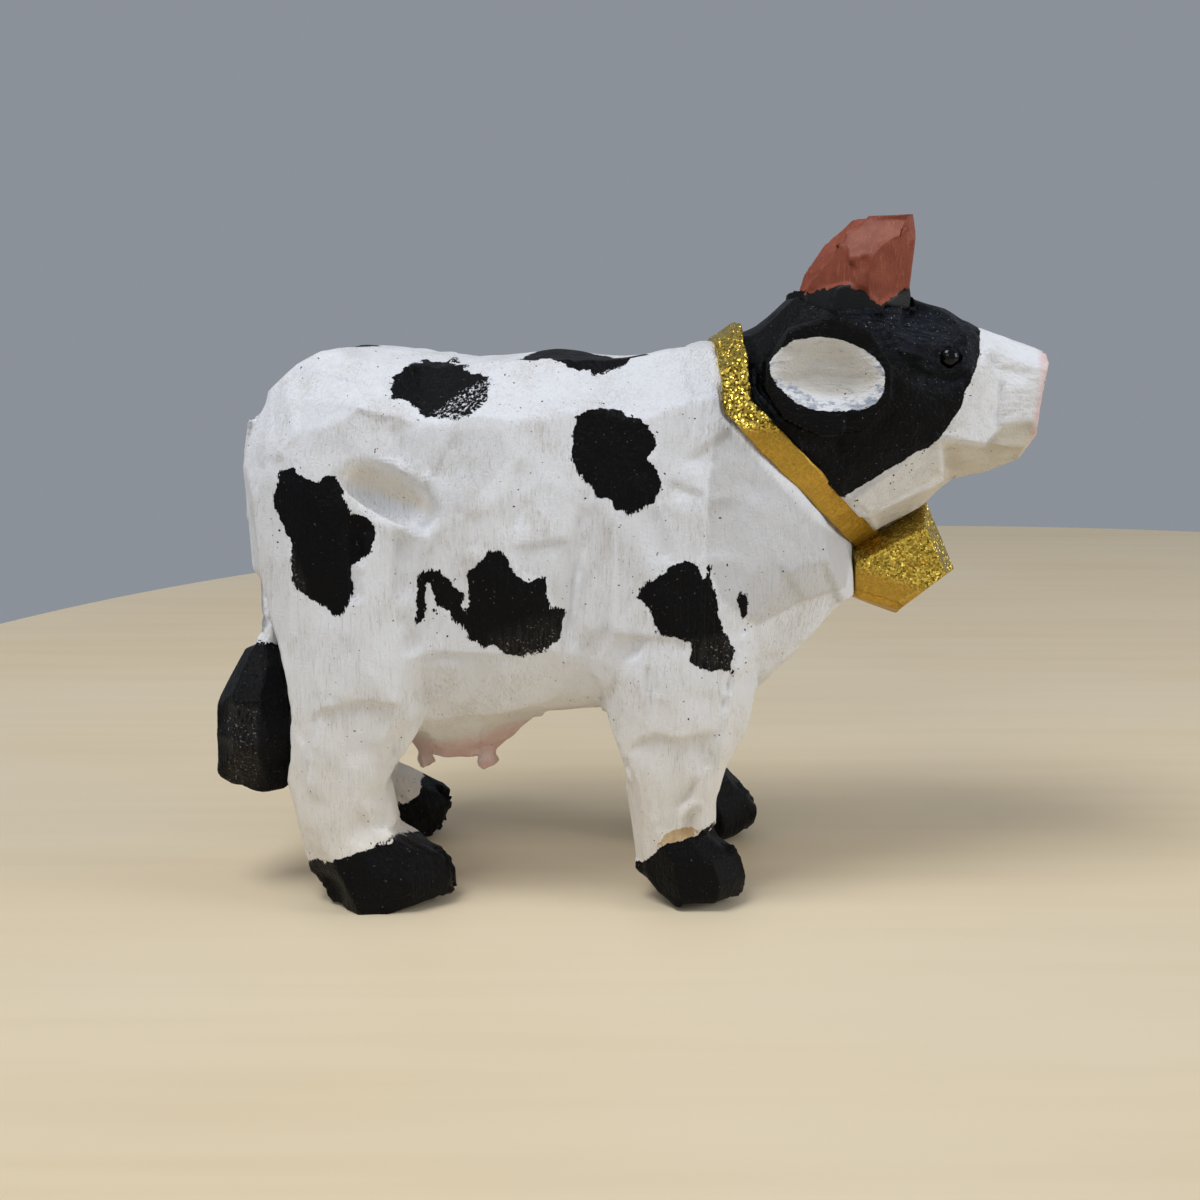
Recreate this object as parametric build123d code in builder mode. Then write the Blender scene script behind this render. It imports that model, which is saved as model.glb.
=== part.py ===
from build123d import *
import os

os.makedirs("parts", exist_ok=True)

# A hand-carved, painted wooden cow. Millimetres, +Z up, nose towards +X.
# The origin lies on the table, under the middle of the figure.

# Whole figure
figure_length = 91.0  # tassel to nose, about
back_height = 59.0  # table to back
trunk_width = 32.0

# Legs and hooves
leg_width = 10.6  # across, from the outer face to the inner one
front_stride = 2.0  # the left front foot stands this far ahead of the right one
hind_stride = 2.4  # the left hind foot stands this far behind the right one
front_hoof_length = 12.6
hind_hoof_length = 16.0
hoof_height = 8.0
hoof_width = 10.2
cleft_width = 1.6
cleft_depth = 3.6

# Udder
udder_length = 16.0
udder_width = 14.0
udder_depth = 5.0
teat_length = 3.2
teat_width = 2.2

# Gouge mark in each flank
scoop_length = 13.0
scoop_width = 7.0
scoop_depth = 2.1

# Neck joint, its dowel and the collar over it
neck_width = 24.6
dowel_diameter = 5.0
dowel_length = 15.0
collar_width = 2.9
collar_thickness = 0.9

# Head
head_length = 27.5  # middle of the neck joint to the nose
head_height = 24.0
head_width = 22.0
muzzle_width = 13.6
lip_step = 0.7  # the lower jaw is narrower by this on each side

# Horns, ears and eyes
horn_height = 10.8  # floor of the mortise to the tip
horn_length = 11.4
horn_thickness = 6.4
horn_spacing = 10.0  # between the middles of the two seats
ear_length = 13.8
ear_height = 12.8
ear_thickness = 4.8
ear_scoop_length = 11.8
ear_scoop_height = 7.8
ear_scoop_depth = 1.3
ear_peg_diameter = 3.0
ear_peg_length = 4.0
eye_diameter = 2.3

# Bell
bell_length = 11.2
bell_height = 12.6
bell_thickness = 11.6
bell_peg_diameter = 3.0
bell_peg_length = 6.0

# Tail
tail_width = 4.2
tassel_length = 14.7
tassel_depth = 8.7  # fore and aft
tassel_width = 9.0
tassel_swing = 6.6  # the tassel hangs this far to the right of the middle
tail_peg_diameter = 2.2
tail_peg_length = 5.0

# Fits and cuts
clearance = 0.06  # between glued pieces
overrun = 8.0  # cuts run this far past what they cut

# A place on the trunk or a leg is written as shares: X of the figure's length, Z of the
# back's height. A place on the head is measured from the middle of the neck joint.


def place(x_share, z_share):
    """A point of the trunk in the middle plane."""
    return Vector(x_share * figure_length, 0, z_share * back_height)


def head_place(x_share, z_share):
    """A point of the head in the middle plane."""
    return neck_middle + Vector(x_share * head_length, 0, z_share * head_height)


def carve(rings):
    """A form with flat knife facets from each ring of corners to the next."""
    with BuildPart() as form:
        for near, far in zip(rings, rings[1:]):
            ConvexPolyhedron([*near, *far])
    return form.part


def ring(top, bottom, half_width, outline_shares):
    """The corners of a cross-section on the line from bottom to top, alike on both sides."""
    rise = top - bottom
    corners = []
    for y, v in outline_shares:
        for side in (-1, 1):
            corners.append(bottom + rise * v + Vector(0, side * y * half_width, 0))
    return corners


def level_ring(middle, length, width, outline_shares, side=-1):
    """The corners of a level cross-section. The outline's outer side is -Y on the right."""
    return [middle + Vector(x * length, -side * y * width, 0) for x, y in outline_shares]


def side_outline(points, growth=0):
    """A face in the middle plane through these points."""
    with BuildSketch(Plane.XZ) as face:
        with BuildLine():
            Polyline(*[(p.X, p.Z) for p in points], close=True)
        make_face()
        if growth:
            offset(amount=growth, kind=Kind.INTERSECTION)
    return face.sketch


# Corners of a rectangle that has lost its edges to the knife, and of an oval.
block_outline_shares = (
    (-0.50, -0.20), (-0.22, -0.50), (0.22, -0.50), (0.50, -0.20),
    (0.50, 0.20), (0.22, 0.50), (-0.22, 0.50), (-0.50, 0.20),
)
oval_outline_shares = (
    (-0.50, 0.00), (-0.38, 0.32), (-0.10, 0.50), (0.24, 0.46), (0.46, 0.20),
    (0.50, -0.08), (0.34, -0.38), (0.04, -0.50), (-0.28, -0.42), (-0.46, -0.22),
)


def hollow(plane, length, width, depth, floor_share):
    """An oval hollow along the plane's x, flat at its floor and open outwards."""
    rings = []
    for out, share in ((-depth, floor_share), (depth, 2 - floor_share)):
        middle = plane.origin + plane.z_dir * out
        rings.append([
            middle + plane.x_dir * (x * share * length) + plane.y_dir * (y * share * width)
            for x, y in oval_outline_shares
        ])
    return carve(rings)


# Neck joint
neck_top = place(0.114, 1.010)
neck_bottom = place(0.274, 0.644)
neck_middle = (neck_top + neck_bottom) * 0.5
neck_axis = Vector(0, 1, 0).cross(neck_top - neck_bottom).normalized()
# The joint runs steeply down from the top of the neck, then bends forward to the throat.
joint_rear = place(0.070, 1.700)
joint_top = place(0.106, 1.150)
joint_bend = place(0.121, 0.905)
joint_throat = place(0.330, 0.580)
joint_front = place(0.700, 0.580)
joint_crown = place(0.700, 1.700)
neck_outline_shares = (
    (0.42, 1.00), (0.82, 0.91), (1.00, 0.68), (0.93, 0.42), (0.56, 0.20), (0.27, 0.05), (0.10, 0.00),
)


def ahead_of_joint(growth=0):
    """All that lies ahead of the neck joint, grown backwards by growth."""
    corners = (joint_rear, joint_top, joint_bend, joint_throat, joint_front, joint_crown)
    with BuildPart() as space:
        extrude(side_outline(corners, growth), amount=trunk_width, both=True)
    return space.part


def collar_band(growth=0):
    """The slice of space that the collar lies in."""
    with BuildPart() as band:
        add(ahead_of_joint(collar_width / 2 + growth))
        add(ahead_of_joint(-collar_width / 2 - growth), mode=Mode.SUBTRACT)
    return band.part


def neck_prism(growth=0):
    """The neck under the collar, as a prism along the neck's axis."""
    half_width = neck_width / 2 + growth
    out = (neck_top - neck_bottom).normalized() * growth
    rings = []
    for step in (-neck_axis * head_length / 2, neck_axis * head_length / 2):
        rings.append(ring(neck_top + out + step, neck_bottom - out + step, half_width, neck_outline_shares))
    return carve(rings)


def collar_groove():
    """What is cut away round the neck so that the collar seats in it."""
    with BuildPart() as groove:
        add(collar_band(clearance))
        add(neck_prism(), mode=Mode.SUBTRACT)
    return groove.part


def dowel_hole(growth=0):
    """The dowel's own space, along the neck's axis."""
    middle = neck_middle - neck_axis * collar_width / 2
    with BuildPart(Plane(middle, z_dir=neck_axis)) as hole:
        Cylinder(dowel_diameter / 2 + growth, dowel_length + 2 * growth)
    return hole.part


# Trunk: its rings lean forward towards the neck, and the last two are the neck's.
# Each row holds top X, top Z, bottom X, bottom Z and width, then how high up the ring the
# back's edge and the belly's edge lie. They differ from ring to ring as the knife left them.
trunk_ring_shares = (
    (-0.446, 0.876, -0.434, 0.470, 0.50, 0.82, 0.24),
    (-0.418, 0.934, -0.418, 0.350, 0.82, 0.79, 0.20),
    (-0.365, 0.975, -0.360, 0.305, 0.96, 0.84, 0.31),
    (-0.300, 0.992, -0.302, 0.300, 1.00, 0.89, 0.21),
    (-0.235, 0.988, -0.232, 0.302, 0.94, 0.83, 0.28),
    (-0.165, 0.986, -0.165, 0.310, 0.985, 0.88, 0.20),
    (-0.100, 0.988, -0.095, 0.322, 0.94, 0.83, 0.27),
    (-0.045, 0.992, -0.035, 0.327, 0.88, 0.88, 0.22),
    (0.000, 0.997, 0.045, 0.327, 0.94, 0.83, 0.29),
    (0.055, 1.003, 0.128, 0.335, 0.95, 0.88, 0.23),
    (0.088, 1.006, 0.206, 0.434, 0.86, 0.86, 0.26),
    (0.104, 1.007, 0.262, 0.530, 0.80, 0.90, 0.22),
)
flank_rise_share = 0.26  # the flank's upper edge lies this far below the back's edge


def trunk_rings():
    """The rings of the trunk, rump to neck."""
    rings = []
    for top_x, top_z, bottom_x, bottom_z, width, upper, lower in trunk_ring_shares:
        half_width = width * trunk_width / 2
        flank = upper - flank_rise_share
        outline = ((0.45, 1.00), (0.91, upper), (1.00, flank), (0.99, lower), (0.72, 0.05), (0.34, 0.00))
        rings.append(ring(place(top_x, top_z), place(bottom_x, bottom_z), half_width, outline))
    half_width = neck_width / 2 + collar_thickness / 2
    for step in (neck_axis * 0, neck_axis * 2 * collar_width):
        rings.append(ring(neck_top + step, neck_bottom + step, half_width, neck_outline_shares))
    return rings


# Legs: each row holds back X, front X, Z, the outer face as a share of half the trunk's
# width, the leg's width and how far the stride has moved the leg there.
front_leg_shares = (
    (0.011, 0.132, 0.780, 0.88, 1.00, 0.0),
    (-0.016, 0.159, 0.610, 0.975, 1.10, 0.0),
    (-0.032, 0.152, 0.458, 0.995, 1.10, 0.2),
    (-0.033, 0.132, 0.327, 0.985, 1.02, 0.5),
    (-0.013, 0.106, 0.263, 0.965, 0.95, 0.8),
    (0.002, 0.095, 0.195, 0.950, 0.88, 1.0),
    (0.004, 0.098, 0.137, 0.940, 0.86, 1.0),
    (0.012, 0.098, 0.070, 0.930, 0.84, 1.0),
)
hind_leg_shares = (
    (-0.363, -0.231, 0.847, 0.84, 0.95, 0.0),
    (-0.412, -0.203, 0.678, 0.965, 1.10, 0.0),
    (-0.421, -0.212, 0.485, 1.000, 1.12, 0.2),
    (-0.417, -0.231, 0.356, 0.995, 1.06, 0.4),
    (-0.413, -0.272, 0.280, 0.985, 1.00, 0.7),
    (-0.408, -0.289, 0.214, 0.970, 0.94, 1.0),
    (-0.399, -0.280, 0.158, 0.955, 0.90, 1.0),
    (-0.385, -0.262, 0.085, 0.940, 0.88, 1.0),
)
# Back to front and outside to inside: the outer rear corner is carved away most.
leg_outline_shares = (
    (-0.50, 0.10), (-0.40, -0.22), (-0.20, -0.46), (0.06, -0.50), (0.34, -0.44),
    (0.50, -0.16), (0.48, 0.26), (0.26, 0.48), (-0.24, 0.50), (-0.46, 0.36),
)
# Each row holds back X, front X, Z and width, as shares of the hoof's own sizes.
hoof_ring_shares = (
    (0.26, 0.86, 0.00, 0.86),
    (0.16, 0.96, 0.16, 0.97),
    (0.12, 1.00, 0.42, 1.00),
    (0.07, 0.92, 0.76, 0.95),
    (0.07, 0.66, 1.04, 0.82),
)
# The spur behind the hoof: X and Z, then half its thickness in the hoof's width.
spur_shares = ((0.22, 0.14, 0.16), (-0.01, 0.50, 0.04), (0.00, 0.56, 0.04), (0.26, 0.80, 0.20))
front_heel_share = 0.004
hind_heel_share = -0.378


def leg(shares, side, stride):
    """A leg from inside the trunk down into its hoof. side is -1 on the right."""
    rings = []
    for back, front, height, outer, width, moved in shares:
        middle = place((back + front) / 2, height) + Vector(stride * moved, 0, 0)
        across = width * leg_width
        middle.Y = side * (outer * trunk_width / 2 - across / 2)
        rings.append(level_ring(middle, (front - back) * figure_length, across, leg_outline_shares, side))
    return carve(rings)


def hoof(heel, length, side):
    """A cloven hoof with its pointed spur, heel at this point."""
    y = side * (trunk_width - hoof_width) / 2
    rings = []
    for back, front, height, width in hoof_ring_shares:
        middle = heel + Vector((back + front) / 2 * length, y, height * hoof_height)
        rings.append(level_ring(middle, (front - back) * length, width * hoof_width, block_outline_shares))
    spur = []
    for x, z, thickness in spur_shares:
        for half in (-thickness * hoof_width, thickness * hoof_width):
            spur.append(heel + Vector(x * length, y + half, z * hoof_height))
    with BuildPart() as made:
        add(carve(rings))
        ConvexPolyhedron(spur)
        with BuildSketch(Plane.XY):
            with Locations((heel.X + length, y)):
                Polygon((0, cleft_width / 2), (-cleft_depth, 0), (0, -cleft_width / 2), align=None)
        extrude(amount=hoof_height + overrun, mode=Mode.SUBTRACT)
    return made.part


# Flats that the knife left on the flanks and legs. Each holds its width, then X, Z, how far
# out its floor lies and how far the stride has moved it, at its top and at its bottom.
flank_flat_shares = (
    (0.135, (-0.036, 0.760, 0.885, 0.0), (-0.058, 0.462, 0.840, 0.0)),
    (0.100, (-0.248, 0.691, 0.955, 0.0), (-0.243, 0.473, 0.885, 0.0)),
)
front_leg_flat_shares = (0.235, (0.050, 0.327, 0.915, 0.5), (0.048, 0.195, 0.930, 1.0))
hind_leg_flat_shares = (0.235, (-0.311, 0.389, 0.940, 0.3), (-0.305, 0.205, 0.955, 1.0))


def knife_flat(shares, side, stride=0):
    """What the knife took off one side to leave a flat. side is -1 on the right."""
    width, *ends = shares
    corners = []
    for x, z, floor, moved in ends:
        for across in (-width * trunk_width / 2, width * trunk_width / 2):
            corner = place(x, z) + Vector(stride * moved + across, side * floor * trunk_width / 2, 0)
            corners += [corner, corner + Vector(0, side * overrun, 0)]
    with BuildPart() as flat:
        ConvexPolyhedron(corners)
    return flat.part


# Udder: each row holds X, Z, length and width; a teat's row holds X, Y, length.
udder_front = place(-0.118, 0.330)
udder_ring_shares = (
    (0.52, -0.80, 1.46, 1.86),
    (0.50, 0.10, 1.08, 1.30),
    (0.52, 0.62, 0.84, 0.92),
    (0.54, 1.00, 0.62, 0.60),
)
teat_shares = ((0.29, -0.20, 0.70), (0.76, -0.20, 0.80), (0.32, 0.20, 0.70), (0.78, 0.20, 1.00))
teat_sides = 5
teat_taper = 8


def udder():
    """The udder under the belly with its four whittled teats."""
    rings = []
    for x, z, length, width in udder_ring_shares:
        middle = udder_front - Vector(x * udder_length, 0, z * udder_depth)
        rings.append(level_ring(middle, length * udder_length, width * udder_width, block_outline_shares))
    with BuildPart() as made:
        add(carve(rings))
        for x, y, length in teat_shares:
            root = udder_front + Vector(-x * udder_length, y * udder_width, -udder_depth)
            with BuildSketch(Plane(root + Vector(0, 0, teat_width / 2))):
                RegularPolygon(teat_width / 2, teat_sides)
            extrude(amount=-length * teat_length - teat_width / 2, taper=teat_taper)
    return made.part


# Gouge marks: a hollow that runs down and forward in each flank.
scoop_rear = place(-0.312, 0.815)
scoop_front = place(-0.222, 0.720)
scoop_floor_share = 0.40


def scoop(side):
    """The hollow in one flank."""
    middle = (scoop_rear + scoop_front) / 2 + Vector(0, side * trunk_width / 2, 0)
    plane = Plane(middle, x_dir=scoop_front - scoop_rear, z_dir=(0, side, 0))
    return hollow(plane, scoop_length, scoop_width, scoop_depth, scoop_floor_share)


# Tail: each row holds back X, front X, Z, then the width and the swing as shares.
tail_strip_shares = (
    (-0.460, -0.436, 0.872, 0.70, 0.00),
    (-0.468, -0.440, 0.805, 0.95, 0.00),
    (-0.463, -0.432, 0.660, 1.00, 0.10),
    (-0.450, -0.424, 0.480, 0.86, 0.36),
)
# Each tassel row holds Y and Z, then depth, width and swing, as shares of the tassel.
tassel_ring_shares = (
    (0.54, 0.00, 0.28, 0.44, 0.45),
    (0.50, 0.32, 0.76, 0.84, 0.85),
    (0.50, 0.60, 1.00, 1.00, 1.00),
    (0.50, 0.88, 0.88, 0.82, 1.00),
    (0.54, 1.00, 0.58, 0.54, 1.00),
)
tassel_top = place(-0.4945, 0.452)
tail_peg_middle = place(-0.453, 0.790)


def tail_form(growth=0):
    """The strip down the rump and the tassel, as one form."""
    rings = []
    for back, front, height, width, swing in tail_strip_shares:
        middle = place((back + front) / 2, height) - Vector(0, swing * tassel_swing, 0)
        length = (front - back) * figure_length + 2 * growth
        rings.append(level_ring(middle, length, width * tail_width + 2 * growth, block_outline_shares))
    for x, z, depth, width, swing in tassel_ring_shares:
        middle = tassel_top + Vector(x * tassel_depth, -swing * tassel_swing, -z * tassel_length)
        length = depth * tassel_depth + 2 * growth
        rings.append(level_ring(middle, length, width * tassel_width + 2 * growth, block_outline_shares))
    return carve(rings)


def peg(root, direction, diameter, length, growth=0):
    """A round peg that reaches from root along direction, or its hole."""
    with BuildPart(Plane(root, z_dir=direction)) as made:
        Cylinder(
            diameter / 2 + growth,
            length + growth,
            align=(Align.CENTER, Align.CENTER, Align.MIN),
        )
    return made.part


def tail_peg(growth=0):
    """The peg that holds the tail to the rump."""
    return peg(tail_peg_middle, (1, 0, 0), tail_peg_diameter, tail_peg_length, growth)


# Bell: its outline in the middle plane, from the top rear corner round to the bottom rear
# one. X is a share of the bell's length and Z of its height, from the throat.
bell_root = place(0.274, 0.629)
bell_outline_shares = ((0.00, 0.00), (0.71, 0.42), (1.00, -0.19), (0.44, -0.58), (0.00, -0.42))
bell_face_shares = ((0.00, -0.06), (0.60, 0.22), (0.84, -0.17), (0.42, -0.44), (0.00, -0.34))
bell_peg_share = -0.21


def bell_form(growth=0):
    """The bell as a faceted block, widest in the middle plane and flat at the back."""
    half = bell_thickness / 2 + growth
    sections = []
    for y, outline in ((-half, bell_face_shares), (0, bell_outline_shares), (half, bell_face_shares)):
        corners = [bell_root + Vector(x * bell_length, 0, z * bell_height) for x, z in outline]
        sections.append(side_outline(corners, growth).moved(Location((0, y, 0))))
    with BuildPart() as made:
        loft(sections=sections, ruled=True)
    return made.part


def bell_peg(growth=0):
    """The peg that holds the bell to the chest."""
    root = bell_root + Vector(bell_peg_diameter / 2, 0, bell_peg_share * bell_height)
    return peg(root, (-1, 0, 0), bell_peg_diameter, bell_peg_length, growth)


# Head: each row holds top X, top Z, bottom X, bottom Z and width.
cranium_outline_shares = ((0.42, 1.00), (0.80, 0.90), (1.00, 0.64), (0.93, 0.34), (0.64, 0.09), (0.34, 0.00))
cranium_ring_shares = (
    (-0.193, 0.485, 0.307, -0.395, 1.09),
    (-0.014, 0.658, 0.393, -0.358, 1.04),
    (0.211, 0.688, 0.486, -0.308, 1.00),
    (0.418, 0.671, 0.579, -0.217, 0.95),
    (0.668, 0.563, 0.700, -0.150, 0.88),
    (0.736, 0.508, 0.764, -0.133, 0.62),
)
muzzle_outline_shares = ((0.55, 1.00), (0.92, 0.86), (1.00, 0.55), (0.98, 0.34), (0.82, 0.08), (0.40, 0.00))
muzzle_ring_shares = (
    (0.586, 0.542, 0.621, -0.117, 1.34),
    (0.750, 0.504, 0.764, -0.121, 1.06),
    (0.871, 0.458, 0.864, -0.100, 1.02),
    (0.982, 0.400, 0.946, -0.025, 0.95),
    (0.995, 0.333, 0.971, 0.050, 0.80),
)
lip_line_shares = ((0.607, 0.012), (0.764, -0.016), (0.825, 0.062), (1.030, 0.083))
lip_floor_shares = ((1.030, -0.400), (0.607, -0.400))


def head_rings(shares, outline_shares, width, inset=0):
    """Rings of the head from a table, drawn in by inset on each side."""
    rings = []
    for top_x, top_z, bottom_x, bottom_z, share in shares:
        top, bottom = head_place(top_x, top_z), head_place(bottom_x, bottom_z)
        rings.append(ring(top, bottom, share * width / 2 - inset, outline_shares))
    return rings


def neck_rings():
    """The head's own stretch of the neck, under and behind the collar."""
    half_width = neck_width / 2 + collar_thickness / 2
    back = neck_axis * -2 * collar_width
    return [
        ring(neck_top + back, neck_bottom + back, half_width, neck_outline_shares),
        ring(neck_top, neck_bottom, half_width, neck_outline_shares),
    ]


def below_lip():
    """All that lies below the upper lip."""
    corners = [head_place(x, z) for x, z in (*lip_line_shares, *lip_floor_shares)]
    with BuildPart() as space:
        extrude(side_outline(corners), amount=head_width, both=True)
    return space.part


# Horns: the outline of the seat, back to front; the right horn's outer side is -Y.
horn_outline_shares = (
    (-0.50, 0.05), (-0.28, -0.38), (0.22, -0.50), (0.50, -0.16), (0.50, 0.24), (0.18, 0.50), (-0.30, 0.42),
)
# Each row holds X, Z, length, thickness and lean outwards.
horn_ring_shares = (
    (0.00, 0.00, 1.00, 1.00, 0.00),
    (0.02, 0.20, 0.96, 1.00, 0.00),
    (0.16, 0.58, 0.72, 0.86, 0.10),
    (0.31, 0.90, 0.43, 0.58, 0.20),
    (0.38, 1.00, 0.28, 0.36, 0.24),
)
horn_seat = head_place(0.215, 0.570)


def horn(side):
    """A whittled horn with its foot. side is -1 on the right."""
    rings = []
    for x, z, length, thickness, lean in horn_ring_shares:
        y = side * (horn_spacing / 2 + lean * horn_thickness)
        middle = horn_seat + Vector(x * horn_length, y, z * horn_height)
        size = length * horn_length, thickness * horn_thickness
        rings.append(level_ring(middle, *size, horn_outline_shares, side))
    return carve(rings)


def horn_mortise(side):
    """The pocket in the crown that a horn's foot is glued into."""
    length, thickness = horn_length + 2 * clearance, horn_thickness + 2 * clearance
    rings = []
    for height in (-clearance, horn_height):
        middle = horn_seat + Vector(0, side * horn_spacing / 2, height)
        rings.append(level_ring(middle, length, thickness, horn_outline_shares, side))
    return carve(rings)


# Ears: a thick oval that is widest at its seat, tilted down towards the nose.
ear_middle = head_place(0.082, 0.325)
ear_tilt = -12
ear_seat_share = 0.92  # the seat is this far out in half the head's width
ear_rim_share = 0.95  # the outline at its outer edge
ear_bevel_share = 0.42  # of the thickness
ear_scoop_floor_share = 0.45


def ear_plane(side, out=0):
    """The plane of an ear, out from its seat; its x runs forward along the ear."""
    y = side * (ear_seat_share * head_width / 2 + out)
    forward = Vector(1, 0, 0).rotate(Axis.Y, -ear_tilt)
    return Plane(ear_middle + Vector(0, y, 0), x_dir=forward, z_dir=(0, side, 0))


def ear_ring(side, out, share, growth=0):
    """The corners of the ear's outline at one depth."""
    plane = ear_plane(side, out)
    length = share * ear_length + 2 * growth
    height = share * ear_height + 2 * growth
    return [
        plane.origin + plane.x_dir * (x * length) - plane.y_dir * (side * y * height)
        for x, y in oval_outline_shares
    ]


def ear_peg(side, growth=0):
    """The peg that holds an ear to the head."""
    return peg(ear_plane(side).origin, (0, -side, 0), ear_peg_diameter, ear_peg_length, growth)


def ear(side):
    """An ear with its scooped face. side is -1 on the right."""
    depths = ((0, ear_rim_share), (ear_bevel_share * ear_thickness, 1), (ear_thickness, ear_rim_share))
    face = ear_plane(side, ear_thickness)
    with BuildPart() as made:
        add(carve([ear_ring(side, out, share) for out, share in depths]))
        add(
            hollow(face, ear_scoop_length, ear_scoop_height, ear_scoop_depth, ear_scoop_floor_share),
            mode=Mode.SUBTRACT,
        )
        add(ear_peg(side))
        add(collar_band(clearance), mode=Mode.SUBTRACT)
    return made.part


def ear_seat(side):
    """What is cut from the head so that an ear lies flat on it."""
    with BuildPart() as made:
        add(carve([ear_ring(side, out, 1, clearance) for out in (0, ear_thickness + overrun)]))
        add(ear_peg(side, clearance))
    return made.part


# Eyes: domed beads on a shank, in drilled sockets.
eye_middle = head_place(0.555, 0.395)
eye_seat_share = 0.81  # the dome starts this far out in half the head's width
eye_shank_share = 0.60  # of the diameter


def eye_plane(side):
    """The plane that the eye's dome starts from."""
    return Plane(eye_middle + Vector(0, side * eye_seat_share * head_width / 2, 0), z_dir=(0, side, 0))


def eye(side):
    """A bead with its shank."""
    radius = eye_diameter / 2
    shank = eye_shank_share * eye_diameter
    plane = eye_plane(side)
    with BuildPart() as made:
        with BuildSketch(Plane(plane.origin, x_dir=plane.x_dir, z_dir=plane.y_dir)):
            with BuildLine():
                Polyline((0, 0), (0, shank), (radius, shank), (radius, 0))
                CenterArc((0, 0), radius, 0, -90)
                Line((0, -radius), (0, 0))
            make_face()
        revolve(axis=Axis(plane.origin, plane.z_dir))
    return made.part


def eye_socket(side):
    """The hole that an eye is set in."""
    plane = eye_plane(side)
    bottom = plane.origin - plane.z_dir * (eye_shank_share * eye_diameter + clearance)
    return peg(bottom, plane.z_dir, eye_diameter, head_width / 2, clearance)


with BuildPart() as neck_dowel:
    add(dowel_hole())

with BuildPart() as bell:
    add(bell_form())
    add(neck_prism(collar_thickness + clearance), mode=Mode.SUBTRACT)
    add(bell_peg())

with BuildPart() as collar:
    add(collar_band())
    add(neck_prism(collar_thickness), mode=Mode.INTERSECT)
    add(neck_prism(clearance), mode=Mode.SUBTRACT)

with BuildPart() as tail:
    add(tail_form())
    add(tail_peg())

with BuildPart() as body:
    add(carve(trunk_rings()))
    for side, front_step, hind_step in ((-1, 0, 0), (1, front_stride, -hind_stride)):
        add(leg(front_leg_shares, side, front_step))
        add(leg(hind_leg_shares, side, hind_step))
        add(knife_flat(front_leg_flat_shares, side, front_step), mode=Mode.SUBTRACT)
        add(knife_flat(hind_leg_flat_shares, side, hind_step), mode=Mode.SUBTRACT)
        add(hoof(place(front_heel_share, 0) + Vector(front_step, 0, 0), front_hoof_length, side))
        add(hoof(place(hind_heel_share, 0) + Vector(hind_step, 0, 0), hind_hoof_length, side))
    add(udder())
    for side in (-1, 1):
        add(scoop(side), mode=Mode.SUBTRACT)
        for shares in flank_flat_shares:
            add(knife_flat(shares, side), mode=Mode.SUBTRACT)
    add(ahead_of_joint(), mode=Mode.SUBTRACT)
    add(collar_groove(), mode=Mode.SUBTRACT)
    add(dowel_hole(clearance), mode=Mode.SUBTRACT)
    add(tail_form(clearance), mode=Mode.SUBTRACT)
    add(tail_peg(clearance), mode=Mode.SUBTRACT)
    add(bell_form(clearance), mode=Mode.SUBTRACT)
    add(bell_peg(clearance), mode=Mode.SUBTRACT)

with BuildPart() as head:
    add(carve(neck_rings() + head_rings(cranium_ring_shares, cranium_outline_shares, head_width)))
    add(carve(head_rings(muzzle_ring_shares, muzzle_outline_shares, muzzle_width)))
    add(below_lip(), mode=Mode.SUBTRACT)
    add(carve(head_rings(muzzle_ring_shares, muzzle_outline_shares, muzzle_width, lip_step)))
    add(ahead_of_joint(), mode=Mode.INTERSECT)
    add(collar_groove(), mode=Mode.SUBTRACT)
    add(dowel_hole(clearance), mode=Mode.SUBTRACT)
    add(bell_form(clearance), mode=Mode.SUBTRACT)
    for side in (-1, 1):
        add(horn_mortise(side), mode=Mode.SUBTRACT)
        add(ear_seat(side), mode=Mode.SUBTRACT)
        add(eye_socket(side), mode=Mode.SUBTRACT)

with BuildPart() as horn_right:
    add(horn(-1))
with BuildPart() as horn_left:
    add(horn(1))
with BuildPart() as ear_right:
    add(ear(-1))
with BuildPart() as ear_left:
    add(ear(1))
with BuildPart() as eye_right:
    add(eye(-1))
with BuildPart() as eye_left:
    add(eye(1))

pieces = {
    "body": body,
    "head": head,
    "neck_dowel": neck_dowel,
    "collar": collar,
    "bell": bell,
    "horn_right": horn_right,
    "horn_left": horn_left,
    "ear_right": ear_right,
    "ear_left": ear_left,
    "eye_right": eye_right,
    "eye_left": eye_left,
    "tail": tail,
}
for name, piece in pieces.items():
    piece.part.label = name
    export_step(piece.part, f"parts/{name}.step")
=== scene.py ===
"""The looks of a small carved and painted wooden cow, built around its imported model."""
import math

import bpy
import numpy as np
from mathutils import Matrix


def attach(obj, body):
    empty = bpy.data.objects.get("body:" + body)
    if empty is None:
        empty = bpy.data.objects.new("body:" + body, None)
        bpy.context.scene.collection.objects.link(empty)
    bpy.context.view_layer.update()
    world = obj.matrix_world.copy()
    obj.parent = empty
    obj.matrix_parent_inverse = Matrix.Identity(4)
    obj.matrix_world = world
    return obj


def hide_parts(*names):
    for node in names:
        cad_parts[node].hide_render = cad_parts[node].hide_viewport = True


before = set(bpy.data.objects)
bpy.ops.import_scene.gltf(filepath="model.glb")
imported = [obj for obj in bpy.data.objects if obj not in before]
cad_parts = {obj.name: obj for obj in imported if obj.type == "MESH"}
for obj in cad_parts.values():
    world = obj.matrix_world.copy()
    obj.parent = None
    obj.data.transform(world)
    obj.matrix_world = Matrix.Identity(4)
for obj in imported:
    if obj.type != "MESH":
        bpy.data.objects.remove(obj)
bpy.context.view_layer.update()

MM = 0.001
NEAR, FAR = -1, 1

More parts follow.
